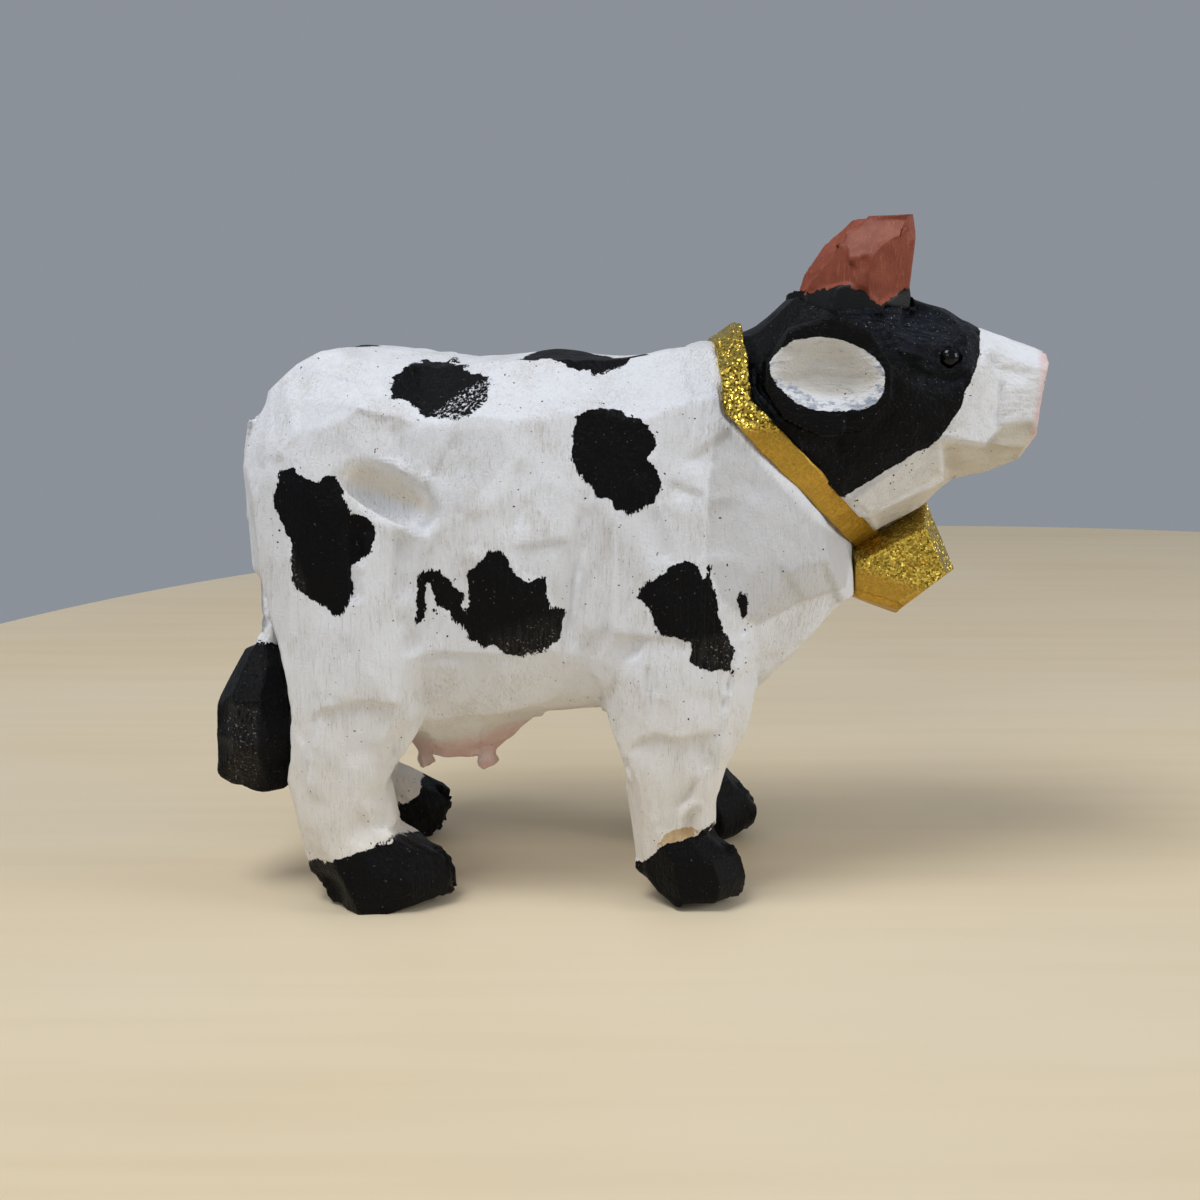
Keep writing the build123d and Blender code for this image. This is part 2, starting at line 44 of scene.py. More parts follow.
# The photograph's camera, in millimetres and pixels of its 1200-pixel frame.
CAMERA_PLACE = np.array((-3.1, -186.13, 66.6))
CAMERA_PITCH = math.radians(10.823)
FOCAL_PIXELS = 1700
MIDDLE_PIXEL = 600
PIXELS_PER_MM = 9.4


def photo_place(co, side=NEAR):
    """The photograph's pixel of each point. The far side is read as if seen in a mirror."""
    seen = co * np.array((1, -side, 1)) - CAMERA_PLACE
    rise, run = math.sin(CAMERA_PITCH), math.cos(CAMERA_PITCH)
    depth = seen @ np.array((0, run, -rise))
    up = seen @ np.array((0, rise, run))
    across = MIDDLE_PIXEL + FOCAL_PIXELS * seen[:, 0] / depth
    down = MIDDLE_PIXEL - FOCAL_PIXELS * up / depth
    return np.stack((across, down), 1)


def inside_by(points, outline):
    """How far inside an outline each point lies: below zero outside it."""
    corners = np.array(outline, float)
    nexts = np.roll(corners, -1, 0)
    nearest = np.full(len(points), np.inf)
    inside = np.zeros(len(points), bool)
    for a, b in zip(corners, nexts):
        along = b - a
        share = np.clip((points - a) @ along / (along @ along), 0, 1)
        gap = points - a - share[:, None] * along
        nearest = np.minimum(nearest, (gap ** 2).sum(1))
        crosses = (a[1] > points[:, 1]) != (b[1] > points[:, 1])
        rise = b[1] - a[1] if b[1] != a[1] else 1e-9
        at = a[0] + (points[:, 1] - a[1]) * along[0] / rise
        inside ^= crosses & (points[:, 0] < at)
    return np.sqrt(nearest) * np.where(inside, 1, -1)


def depth_in(co, outline, side=NEAR):
    """How far inside an outline of the photograph each point lies, in millimetres."""
    return inside_by(photo_place(co, side), outline) / PIXELS_PER_MM


def own_depth_in(co, outline):
    """The same, with each flank seen from its own side."""
    return np.where(co[:, 1] < 0, depth_in(co, outline, NEAR), depth_in(co, outline, FAR))


def ellipse(middle, long, short, turn, count=28):
    """The outline of an ellipse turned by some degrees, clockwise in the photograph."""
    turned = math.radians(turn)
    points = []
    for i in range(count):
        angle = 2 * math.pi * i / count
        u, v = long / 2 * math.cos(angle), short / 2 * math.sin(angle)
        x = middle[0] + u * math.cos(turned) - v * math.sin(turned)
        y = middle[1] + u * math.sin(turned) + v * math.cos(turned)
        points.append((x, y))
    return points


def eased(value, low, high):
    """0 below low, 1 above high, and a soft step between."""
    share = np.clip((value - low) / (high - low), 0, 1)
    return share * share * (3 - 2 * share)


def side_of(co, side):
    """1 on one flank, 0 on the other, with a soft step along the spine."""
    return eased(co[:, 1] * side, -0.5, 1.5)


# How far each pass of smoothing moves a vertex in and then out again, and a value along.
SMOOTH_IN, SMOOTH_OUT, SPREAD = 0.55, 0.38, 0.6
# Over which share of its length a cut of the knife starts and ends.
CUT_START, CUT_END = (-0.02, 0.22), (0.78, 1.02)
# How far past a trim's ends and corners it still takes wood off, in pixels.
TRIM_END, TRIM_CORNER = (-4, 6), (-15, -7)
# How many neighbouring facets are weighed at each vertex, and vertices done at a time.
NEIGHBOURS = 4
AT_A_TIME = 16000


class Skin:
    """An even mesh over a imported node, worked on in millimetres."""

    def __init__(self, node, voxel):
        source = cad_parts[node]
        data = source.data.copy()
        place = np.empty(len(data.vertices) * 3)
        data.vertices.foreach_get("co", place)
        data.vertices.foreach_set("co", place / MM)
        work = bpy.data.objects.new("work", data)
        bpy.context.scene.collection.objects.link(work)
        weld = work.modifiers.new("weld", "WELD")
        weld.merge_threshold = 0.001
        remesh = work.modifiers.new("even", "REMESH")
        remesh.mode = "VOXEL"
        remesh.voxel_size = voxel
        graph = bpy.context.evaluated_depsgraph_get()
        self.mesh = bpy.data.meshes.new_from_object(work.evaluated_get(graph))
        bpy.data.objects.remove(work)
        bpy.data.meshes.remove(data)
        self.node = node
        self.voxel = voxel
        count = len(self.mesh.vertices)
        flat = np.empty(count * 3)
        self.mesh.vertices.foreach_get("co", flat)
        self.co = flat.reshape(-1, 3)
        ends = np.empty(len(self.mesh.edges) * 2, np.int64)
        self.mesh.edges.foreach_get("vertices", ends)
        self.ends = ends.reshape(-1, 2)
        self.links = np.bincount(self.ends.ravel(), minlength=count)
        corners = np.empty(len(self.mesh.loops), np.int64)
        self.mesh.loops.foreach_get("vertex_index", corners)
        sizes = np.empty(len(self.mesh.polygons), np.int64)
        self.mesh.polygons.foreach_get("loop_total", sizes)
        assert (sizes == 4).all()
        self.faces = corners.reshape(-1, 4)

    def mean_round(self, values):
        """The mean of a value over each vertex's neighbours."""
        a, b = self.ends.T
        count = len(self.co)
        if values.ndim == 1:
            total = np.bincount(a, values[b], count) + np.bincount(b, values[a], count)
            return total / self.links
        return np.stack([self.mean_round(column) for column in values.T], 1)

    def spread(self, values, times):
        """A value smoothed over the surface."""
        for _ in range(times):
            values = values + (self.mean_round(values) - values) * SPREAD
        return values

    def smooth(self, times, share=1.0):
        """Rounds the form off, without making it smaller as a whole."""
        share = np.reshape(share, (-1, 1))
        for _ in range(times):
            self.co += (self.mean_round(self.co) - self.co) * SMOOTH_IN * share
            self.co += (self.co - self.mean_round(self.co)) * SMOOTH_OUT * share

    def normals(self, soften=0):
        """Outward directions at the vertices."""
        a, b, c, d = (self.co[self.faces[:, i]] for i in range(4))
        out = np.cross(c - a, d - b)
        total = np.stack([
            sum(np.bincount(self.faces[:, i], out[:, axis], len(self.co)) for i in range(4))
            for axis in range(3)
        ], 1)
        total /= np.linalg.norm(total, axis=1, keepdims=True) + 1e-12
        if soften:
            total = self.spread(total, soften)
            total /= np.linalg.norm(total, axis=1, keepdims=True) + 1e-12
        return total

    def push(self, amount, soften=3):
        """Moves each vertex out along its normal."""
        self.co += self.normals(soften) * np.reshape(amount, (-1, 1))

    def found(self, places, side=NEAR):
        """Where pixels of the photograph meet the surface, on either flank."""
        seen = photo_place(self.co, side)
        points = []
        for place in places:
            gap = ((seen - np.array(place)) ** 2).sum(1)
            near = np.flatnonzero(gap < max(40.0, gap.min() * 1.2))
            points.append(self.co[near[(self.co[near, 1] * side).argmax()]].copy())
        return points

    def cut(self, line, width, depth, side=NEAR, edge=0.3):
        """A knife's stop cut along a line of the photograph.

        The surface drops on the line's right hand, as one walks it, and comes back over width."""
        seen = photo_place(self.co, side)
        nearest = np.full(len(seen), np.inf)
        signed = np.full(len(seen), np.inf)
        ends = np.zeros(len(seen))
        pairs = list(zip(line, line[1:]))
        for number, (a, b) in enumerate(pairs):
            a, b = np.array(a, float), np.array(b, float)
            along = b - a
            share = np.clip((seen - a) @ along / (along @ along), 0, 1)
            gap = seen - a - share[:, None] * along
            size = np.sqrt((gap ** 2).sum(1)) / PIXELS_PER_MM
            closer = size < nearest
            nearest[closer] = size[closer]
            across = gap @ np.array((-along[1], along[0])) / np.linalg.norm(along)
            signed[closer] = across[closer] / PIXELS_PER_MM
            ends[closer] = (number + share[closer]) / len(pairs)
        taper = eased(ends, *CUT_START) * (1 - eased(ends, *CUT_END))
        beyond = np.sqrt(np.maximum(nearest ** 2 - signed ** 2, 0))
        drop = eased(signed, -edge, edge) * (1 - eased(signed, edge, width)) * taper
        drop *= (1 - eased(beyond, 0.2, 1.5)) * side_of(self.co, side)
        self.push(-depth * drop, 6)

    def trim(self, line, side=NEAR, reach=2.0):
        """Takes off what stands out over a line of the photograph, on its left hand.

        The line stays on one side of the mesh's outline, from corner to corner."""
        last = len(line) - 2
        for number, (a, b) in enumerate(zip(line, line[1:])):
            seen = photo_place(self.co, side)
            a, b = np.array(a, float), np.array(b, float)
            length = np.linalg.norm(b - a)
            run = (b - a) / length
            across = np.array((run[1], -run[0]))
            along = (seen - a) @ run
            over = (seen - a) @ across / PIXELS_PER_MM
            before = eased(along, *(TRIM_CORNER if number else TRIM_END))
            low, high = TRIM_END if number == last else TRIM_CORNER
            after = eased(along, length - high, length - low)
            move = np.where((over > 0) & (over < reach), over, 0)
            move *= before * (1 - after) * (self.co[:, 1] * side >= 0)
            self.co[:, 0] -= across[0] * move
            self.co[:, 2] += across[1] * move

    def flatten(self, corners, side=NEAR, lift=()):
        """Pares the surface inside an outline of the photograph down to one plane.

        lift holds how far the plane stands off the surface at each corner, if anywhere."""
        seen, out = photo_place(self.co, side), self.normals(3)
        places, rises = [], list(lift) + [0.0] * (len(corners) - len(lift))
        for corner, rise in zip(corners, rises):
            gap = ((seen - np.array(corner)) ** 2).sum(1) - 60 * np.clip(self.co[:, 1] * side, 0, 1)
            near = np.flatnonzero(gap < gap.min() + 16)
            best = near[(self.co[near, 1] * side).argmax()]
            places.append(self.co[best] + out[best] * rise)
        places = np.array(places)
        middle = places.mean(0)
        facing = np.linalg.svd(places - middle)[2][2]
        facing *= np.sign(facing[1] * side) or 1
        share = eased(depth_in(self.co, corners, side), -0.2, 0.25)
        share *= eased(out @ facing, 0.2, 0.5) * (self.co[:, 1] * side > 0)
        self.co += facing * (((middle - self.co) @ facing) * share)[:, None]

    def creases(self, times):
        """Above zero in hollows and below it on ridges."""
        bend = ((self.mean_round(self.co) - self.co) * self.normals(2)).sum(1) / self.voxel
        return self.spread(bend, times)

    def scattered(self, rng, spacing, hand, squeeze):
        """Vertices about one spacing apart, those nearest to the given places first."""
        places = self.co * squeeze
        free = np.ones(len(places), bool)
        seeds = []
        for place in hand:
            nearest = ((places - place * squeeze) ** 2).sum(1).argmin()
            seeds.append(nearest)
            free[((places - places[nearest]) ** 2).sum(1) < (spacing[nearest] * 0.8) ** 2] = False
        for candidate in rng.permutation(len(free)):
            if free[candidate]:
                seeds.append(candidate)
                reach = spacing[candidate] * (0.75 + 0.4 * rng.random())
                free[((places - places[candidate]) ** 2).sum(1) < reach ** 2] = False
        return np.array(seeds)

    def facets(self, rng, spacing, hand=(), swell=0.0, stretch=1.0, turning=5.0, limit=0.6,
               share=1.0):
        """Cuts the form into flat knife facets that meet at ridges and in valleys.

        spacing is a length or one for each vertex, swell how uneven the form is before it is
        cut, and stretch how much taller than wide the facets are."""
        count = len(self.co)
        spacing = np.broadcast_to(np.asarray(spacing, float), (count,))
        squeeze = np.array((1, 1, 1 / stretch))
        self.push(ripple(rng, self.co * squeeze, spacing.mean() * 2.3) * swell * share)
        out, places = self.normals(6), self.co * squeeze
        seeds = self.scattered(rng, spacing, hand, squeeze)
        middle, facing, size = self.co[seeds], out[seeds], spacing[seeds]
        for _ in range(3):
            cells, _ = closest_cells(places, out, middle * squeeze, facing, size, turning, 1)
            members = np.maximum(np.bincount(cells[:, 0], minlength=len(seeds)), 1)
            middle, facing = (
                np.stack([np.bincount(cells[:, 0], column, len(seeds)) for column in values.T], 1)
                / members[:, None] for values in (self.co, out)
            )
            facing /= np.linalg.norm(facing, axis=1, keepdims=True) + 1e-9
        cells, gap = closest_cells(places, out, middle * squeeze, facing, size, turning, NEIGHBOURS)
        height, agree = [], []
        for rank in range(NEIGHBOURS):
            cell = cells[:, rank]
            agree.append((out * facing[cell]).sum(1))
            gone = ((middle[cell] - self.co) * facing[cell]).sum(1)
            height.append(gone / np.maximum(agree[rank], 0.35))
        rise = met_heights(cells, height, gap, agree, len(seeds))
        first, move = cells[:, 0], height[0] + rise[cells[:, 0]]
        for rank in range(1, NEIGHBOURS):
            cell = cells[:, rank]
            reached = height[rank] + rise[cell]
            ridge = ((facing[cell] - facing[first]) * (middle[cell] - middle[first])).sum(1) > 0
            away = 3 * eased(gap[:, rank] - gap[:, 0], 0.5, 1.3)
            away += 3 * eased(-agree[rank], -0.45, -0.3)
            lower, upper = np.minimum(move, reached + away), np.maximum(move, reached - away)
            move = np.where(ridge, lower, upper)
        move = self.spread(np.clip(move, -limit, limit), 1) * share
        self.co += out * move[:, None]

    def keep(self, **levels):
        """Stores values for the vertices, for the paint to read."""
        for name, values in levels.items():
            layer = self.mesh.attributes.new(name, "FLOAT", "POINT")
            values = np.broadcast_to(values, len(self.co)).astype(np.float32)
            layer.data.foreach_set("value", values)

    def show(self, name, material):
        """Makes the piece that stands for the node."""
        self.mesh.vertices.foreach_set("co", (self.co * MM).ravel())
        self.mesh.shade_smooth()
        self.mesh.name = name
        self.mesh.materials.clear()
        self.mesh.materials.append(material)
        self.mesh.update()
        piece = bpy.data.objects.new(name, self.mesh)
        bpy.context.scene.collection.objects.link(piece)
        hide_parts(self.node)
        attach(piece, "root")
        return piece


def closest_cells(place, out, middle, facing, size, turning, wanted):
    """The facets nearest to each vertex by place and direction, and how far off they are."""
    weight = 1 / size ** 2
    own = (middle ** 2).sum(1) * weight + 2 * turning
    cells = np.empty((len(place), wanted), np.int64)
    gaps = np.empty((len(place), wanted))
    for start in range(0, len(place), AT_A_TIME):
        part = slice(start, start + AT_A_TIME)
        gap = own + (place[part] ** 2).sum(1)[:, None] * weight
        gap -= 2 * place[part] @ (middle * weight[:, None]).T + 2 * turning * out[part] @ facing.T
        best = np.argpartition(gap, wanted, 1)[:, :wanted]
        values = np.take_along_axis(gap, best, 1)
        order = values.argsort(1)
        cells[part] = np.take_along_axis(best, order, 1)
        gaps[part] = np.take_along_axis(values, order, 1)
    return cells, np.maximum(gaps, 0)


def met_heights(cells, height, gap, agree, count):
    """How far to raise or sink each facet so that neighbours meet along their borders."""
    near = (gap[:, 1] - gap[:, 0] < 0.15) & (agree[1] > 0.5) & (agree[0] > 0.5)
    one, two = cells[near, 0], cells[near, 1]
    step = height[0][near] - height[1][near]
    weights = np.zeros((count, count))
    np.add.at(weights, (one, two), 1.0)
    np.add.at(weights, (two, one), 1.0)
    wanted = np.bincount(two, step, count) - np.bincount(one, step, count)
    equations = np.diag(weights.sum(1) + 0.15 * near.sum() / count) - weights
    return np.linalg.solve(equations, wanted)


def ripple(rng, co, wave, count=24):
    """A soft random swell over the surface, from -1 to 1 or so."""
    total = np.zeros(len(co))
    for _ in range(count):
        way = rng.normal(size=3)
        way *= 2 * math.pi / (wave * (0.7 + 0.6 * rng.random()) * np.linalg.norm(way))
        total += np.sin(co @ way + rng.random() * 2 * math.pi)
    return total / math.sqrt(count / 2)


# Materials


def colour(red, green, blue):
    """A colour written as it looks, from 0 to 255."""
    made = []
    for level in (red, green, blue):
        share = level / 255
        made.append(share / 12.92 if share <= 0.04045 else ((share + 0.055) / 1.055) ** 2.4)
    return (*made, 1.0)


class Finish:
    """A material put together from nodes, in millimetres of the object."""

    def __init__(self, name):
        self.material = bpy.data.materials.new(name)
        self.material.use_nodes = True
        self.tree = self.material.node_tree
        self.tree.nodes.clear()
        self.object_place = self.add("ShaderNodeTexCoord").outputs["Object"]

    def add(self, kind, inputs=(), **settings):
        made = self.tree.nodes.new(kind)
        for key, value in settings.items():
            setattr(made, key, value)
        for key, value in dict(inputs).items():
            socket = made.inputs[key]
            if isinstance(value, bpy.types.NodeSocket):
                self.tree.links.new(value, socket)
            else:
                socket.default_value = value
        return made

    def vector(self, operation, *inputs):
        made = self.add("ShaderNodeVectorMath", dict(enumerate(inputs)), operation=operation)
        return made.outputs[0]

    def place(self, shares):
        return self.vector("MULTIPLY", self.object_place, tuple(share / MM for share in shares))

    def noise(self, size, stretch=(1, 1, 1), detail=2.0, rough=0.5, warp=0.0, shift=0.0):
        """Noise whose patches are about size across, longer where stretch is over 1."""
        place = self.place(tuple(1 / (size * s) for s in stretch))
        if shift:
            place = self.vector("ADD", place, (shift,) * 3)
        inputs = {"Vector": place, "Scale": 1.0, "Detail": detail, "Roughness": rough}
        inputs["Distortion"] = warp
        return self.add("ShaderNodeTexNoise", inputs).outputs["Fac"]

    def flakes(self, size):
        """A colour at random for each flake of about that size."""
        place = self.place((1 / size,) * 3)
        return self.add("ShaderNodeTexVoronoi", {"Vector": place, "Scale": 1.0}).outputs["Color"]

    def kept(self, name):
        return self.add("ShaderNodeAttribute", attribute_name=name).outputs["Fac"]

    def math(self, operation, a, b):
        return self.add("ShaderNodeMath", {0: a, 1: b}, operation=operation).outputs[0]

    def product(self, a, b):
        return self.math("MULTIPLY", a, b)

    def total(self, *parts):
        """The sum of values, each a socket, a number or a (socket, times, plus) triple."""
        made = None
        for part in parts:
            if isinstance(part, tuple):
                inputs = dict(enumerate(part))
                part = self.add("ShaderNodeMath", inputs, operation="MULTIPLY_ADD").outputs[0]
            made = part if made is None else self.math("ADD", made, part)
        return made

    def step(self, value, low, high, to_low=0.0, to_high=1.0):
        inputs = {0: value, 1: low, 2: high, 3: to_low, 4: to_high}
        made = self.add("ShaderNodeMapRange", inputs, interpolation_type="SMOOTHSTEP")
        return made.outputs[0]

    def mix(self, share, a, b):
        made = self.add("ShaderNodeMix", data_type="RGBA")
        for index, value in ((0, share), (6, a), (7, b)):
            if isinstance(value, bpy.types.NodeSocket):
                self.tree.links.new(value, made.inputs[index])
            else:
                made.inputs[index].default_value = value
        return made.outputs[2]

    def bump(self, height, depth, normal=None):
        """Relief from a height that runs from 0 to 1, depth millimetres deep."""
        inputs = {"Height": height, "Distance": depth * MM, "Strength": 1.0}
        if normal is not None:
            inputs["Normal"] = normal
        return self.add("ShaderNodeBump", inputs).outputs[0]

    def done(self, base, roughness, normal=None, **constants):
        inputs = {"Base Color": base, "Roughness": roughness}
        if normal is not None:
            inputs["Normal"] = normal
        for key, value in constants.items():
            inputs[key.replace("_", " ")] = value
        shader = self.add("ShaderNodeBsdfPrincipled", inputs)
        self.add("ShaderNodeOutputMaterial", {"Surface": shader.outputs[0]})
        return self.material


WHITE_THICK = colour(233, 235, 240)
WHITE_THIN = colour(212, 210, 207)
# Painted shade: the warm, darker white of low places and of faces turned downward.
WHITE_SHADED_BELOW = colour(231, 222, 205)
# The grey-brown of soiled scratches and of the painted shade in creases.
DIRT_AND_CREASE_SHADE = colour(150, 138, 124)
BLACK = colour(6, 6, 8)
BLACK_WORN = colour(46, 42, 39)
# Pale specks in the black, which also stand as painted glints.
PORE_AND_GLINT = colour(150, 150, 152)
BLUE = colour(120, 137, 160)
# Painted shade on planes turned from the window.
WHITE_SHADED_PLANE = colour(196, 195, 196)
BARE_WOOD = colour(213, 190, 152)
BARE_GRAIN = colour(170, 138, 98)
DOWEL_GRAIN = colour(176, 142, 100)
PINK = colour(224, 186, 180)


def painted(name, grain, blue=0.0, ragged_edge=1.0, low=WHITE_SHADED_BELOW, black_wear_and_sheen=BLACK_WORN,
            dirt_and_crease_shade=1.0):
    """White paint over wood, with black, pink and bare places, painted shade and painted sheen,
    by what the vertices keep.

    grain is how much longer the grain's streaks are than wide along each axis, blue how
    strongly blue-grey dabs show in the white, fewer in the painted shade, and ragged_edge how
    far the black's edge wanders, in millimetres or so. low and black_wear_and_sheen are the tones
    of the white in painted shade and of the black where it is worn and painted with sheen, where
    the vertices keep low and rubbed, and dirt how strongly soiled scratches and painted shade in
    the creases darken the white."""
    f = Finish(name)
    # Edges of the black: lobes, a ragged brush edge and hairs of the bristles.
    lobes = f.noise(3.2, detail=1.0)
    ragged = f.noise(0.85, detail=3.0, rough=0.6)
    bristles = tuple(1 + (share - 1) * 0.5 for share in grain)
    hairs = f.noise(0.14, bristles, detail=1.5, shift=7.0)
    spikes = f.product(f.step(lobes, 0.45, 0.65), hairs)
    wander = f.total(
        (lobes, 0.6, -0.30), (ragged, 1.0, -0.50), (hairs, 0.25, -0.12), (spikes, 0.9, -0.28),
    )
    edge = f.total(f.kept("black"), (wander, ragged_edge, 0.0))
    black = f.step(edge, -0.02, 0.05)
    # Dry brushing: the black only catches the tops of the grain.
    catch = f.noise(0.3, grain, detail=4.0, rough=0.7, shift=3.0)
    dry = f.step(f.total(catch, (f.kept("dry"), 0.42, -0.42)), 0.04, 0.10)
    black = f.product(black, dry)
    # Specks of black in the white, most of them near the patches.
    speck_field = f.noise(0.42, detail=1.0, rough=0.4, shift=11.0)
    crowd = f.noise(7.0, detail=1.0, shift=5.0)
    nearness = f.step(f.kept("black"), -3.0, 0.0)
    crowding = f.total((nearness, 0.030, 0.0), (crowd, 0.12, -0.06), (f.kept("crease"), 0.05, 0.0))
    specks = f.step(f.total(speck_field, crowding), 0.775, 0.79)
    # Thin places and streaks along the grain.
    streak = f.noise(0.5, grain, detail=3.0, rough=0.6)
    worn = f.noise(5.0, detail=2.0, rough=0.6, shift=2.0)
    fine = f.noise(0.16, grain, detail=2.0, rough=0.7, shift=17.0)
    thin = f.total((streak, 0.6, -0.22), (worn, 0.9, -0.42), (fine, 0.4, -0.20))
    white = f.mix(f.step(thin, 0.0, 0.55), WHITE_THICK, WHITE_THIN)
    # Painted shade: a warm, darker white where the vertices keep low.
    white = f.mix(f.product(f.kept("low"), 0.8), white, low)
    scratch = f.product(f.step(fine, 0.56, 0.70), f.step(worn, 0.40, 0.60))
    white = f.mix(f.product(scratch, 0.38 * dirt_and_crease_shade), white, DIRT_AND_CREASE_SHADE)
    # Painted shade on the planes turned from the window.
    white = f.mix(f.product(f.kept("shade"), 0.75), white, WHITE_SHADED_PLANE)
    # Painted shade in the creases: the white greys where the surface is hollow.
    crease_shade = f.product(f.step(f.kept("crease"), 0.10, 0.35), f.step(ragged, 0.35, 0.7))
    white = f.mix(f.product(crease_shade, 0.5 * dirt_and_crease_shade), white, DIRT_AND_CREASE_SHADE)
    if blue:
        dab = f.noise(0.65, (2.2, 1, 1), detail=4.0, rough=0.7, shift=41.0)
        dabs = f.step(f.total(dab, (f.kept("low"), -0.14, 0.0)), 0.44, 0.62)
        white = f.mix(f.product(dabs, blue), white, BLUE)
    brushed_pink = f.step(f.noise(1.6, detail=3.0, rough=0.65), 0.30, 0.62, 0.6, 1.0)
    pink = f.product(f.kept("pink"), brushed_pink)
    white = f.mix(pink, white, PINK)
    bare = f.step(f.total(f.kept("bare"), (ragged, 1.2, -0.6)), 0.0, 0.08)
    white = f.mix(bare, white, f.mix(streak, BARE_WOOD, BARE_GRAIN))
    white = f.mix(specks, white, BLACK_WORN)
    # Black paint: pale specks in the grain that it didn't cover, thicker where the vertices keep
    # wear and sheen to stand as painted glints, and greyish places that are partly wear and partly
    # painted sheen.
    missed_and_glint_field = f.noise(0.26, detail=1.5, rough=0.5, shift=19.0)
    missed_and_glint_field = f.total(missed_and_glint_field, (f.kept("rubbed"), 0.08, 0.0))
    pore_and_glint_specks = f.step(missed_and_glint_field, 0.72, 0.78)
    rubbed = f.product(f.kept("rubbed"), f.step(catch, 0.35, 0.65))
    dark = f.mix(f.product(rubbed, 0.8), BLACK, black_wear_and_sheen)
    dark = f.mix(f.product(pore_and_glint_specks, 0.5), dark, PORE_AND_GLINT)
    base = f.mix(black, white, dark)
    # Relief: streaks of the grain, brush ridges, grit and the black's own thickness.
    brushed = f.noise(0.28, grain, detail=2.0, shift=23.0)
    grit = f.noise(0.22, detail=2.0, rough=0.6)
    normal = f.bump(streak, 0.20)
    normal = f.bump(brushed, 0.12, normal)
    normal = f.bump(grit, 0.08, normal)
    blotches = f.product(black, f.noise(0.45, detail=2.0, rough=0.6, shift=13.0))
    normal = f.bump(blotches, 0.14, normal)
    normal = f.bump(black, 0.05, normal)
    gloss = f.total((f.noise(1.2, detail=2.0, shift=31.0), 0.25, 0.0), (black, -0.10, 0.44))
    return f.done(base, gloss, normal, Specular_IOR_Level=0.12)


white_paint = painted("carved_white_paint", (1, 1, 9))

# Body

NEAR_PATCHES = (
    ((382, 400), (391, 391), (393, 378), (403, 366), (418, 360), (451, 358), (466, 368), (491, 373),
     (490, 387), (489, 403), (470, 420), (453, 418), (441, 420), (422, 420), (416, 412), (403, 401),
     (389, 402)),
    ((570, 434), (574, 415), (589, 406), (613, 406), (626, 415), (640, 413), (649, 422), (653, 420),
     (652, 428), (662, 440), (657, 451), (648, 459), (657, 468), (665, 478), (663, 490), (657, 505),
     (645, 506), (630, 512), (615, 513), (607, 501), (597, 497), (590, 488), (584, 476), (574, 468),
     (571, 451)),
    ((282, 467), (293, 464), (297, 469), (305, 475), (318, 480), (320, 475), (329, 472), (337, 476),
     (339, 487), (345, 503), (349, 516), (366, 514), (374, 524), (375, 535), (374, 547), (366, 558),
     (355, 566), (355, 587), (349, 603), (337, 614), (324, 608), (308, 601), (299, 591), (293, 574),
     (291, 553), (287, 537), (278, 520), (272, 508), (273, 491), (280, 478)),
    ((415, 576), (427, 572), (429, 600), (426, 622), (417, 622), (413, 602)),
    ((427, 572), (451, 576), (460, 588), (469, 593), (465, 605), (473, 622), (458, 622), (448, 612),
     (434, 607), (429, 592)),
    ((432, 605), (441, 604), (438, 613), (431, 613)),
    ((466, 570), (478, 562), (491, 554), (503, 553), (512, 566), (528, 580), (545, 579), (547, 595),
     (549, 608), (566, 608), (568, 616), (562, 628), (564, 641), (545, 647), (528, 653), (516, 658),
     (503, 651), (491, 647), (474, 641), (466, 628), (462, 612), (466, 599)),
    ((639, 597), (647, 584), (659, 576), (670, 561), (684, 557), (693, 560), (697, 555), (702, 574),
     (704, 578), (707, 555), (712, 574), (719, 597), (724, 622), (729, 640), (737, 647), (735, 663),
     (733, 675), (715, 670), (702, 671), (690, 663), (688, 650), (688, 646), (674, 640), (658, 630),
     (649, 618), (643, 607)),
    ((731, 589), (748, 588), (753, 603), (749, 618), (740, 624), (735, 606)),
    ((734, 578), (741, 578), (741, 586), (734, 586)),
)
FAR_PATCHES = (
    ((292, 398), (318, 378), (352, 372), (380, 380), (398, 398), (390, 418), (372, 430), (352, 426),
     (338, 444), (316, 448), (300, 430)),
    ((430, 400), (455, 386), (492, 384), (520, 396), (545, 402), (552, 424), (536, 446), (540, 470),
     (520, 494), (492, 498), (470, 482), (448, 470), (440, 444), (424, 424)),
    ((300, 528), (318, 506), (338, 512), (356, 500), (374, 516), (372, 548), (382, 572), (366, 598),
     (340, 604), (322, 588), (306, 582), (292, 556)),
    ((590, 520), (612, 498), (640, 494), (668, 508), (684, 536), (672, 560), (680, 588), (660, 606),
     (632, 600), (616, 582), (596, 570), (584, 544)),
    ((428, 566), (452, 550), (478, 556), (506, 548), (520, 572), (512, 600), (488, 616), (470, 640),
     (446, 636), (432, 612), (418, 590)),
    ((648, 418), (672, 404), (690, 420), (704, 452), (716, 482), (698, 492), (676, 478), (658, 462),
     (644, 440)),
    ((640, 640), (662, 628), (690, 636), (712, 650), (706, 680), (680, 690), (654, 680),
     (636, 664)),
)
TOP_PATCHES = (
    ((-12.2, -6.2), (-8.6, -7.6), (-6.4, -8.4), (-3.6, -8.2), (-1.0, -7.2), (2.2, -6.2), (1.4, 0.0),
     (-2.6, 5.0), (-8.0, 6.4), (-11.6, 2.0)),
    ((-36.5, -1.0), (-31.0, -3.4), (-27.4, 0.8), (-27.8, 6.6), (-32.0, 9.8), (-36.6, 7.2)),
)
HOOF_LINE = (
    (300, 866), (339, 856), (360, 849), (389, 841), (420, 826), (470, 812), (600, 868), (640, 862),
    (662, 843), (695, 833), (714, 826), (790, 800), (790, 960), (280, 960),
)
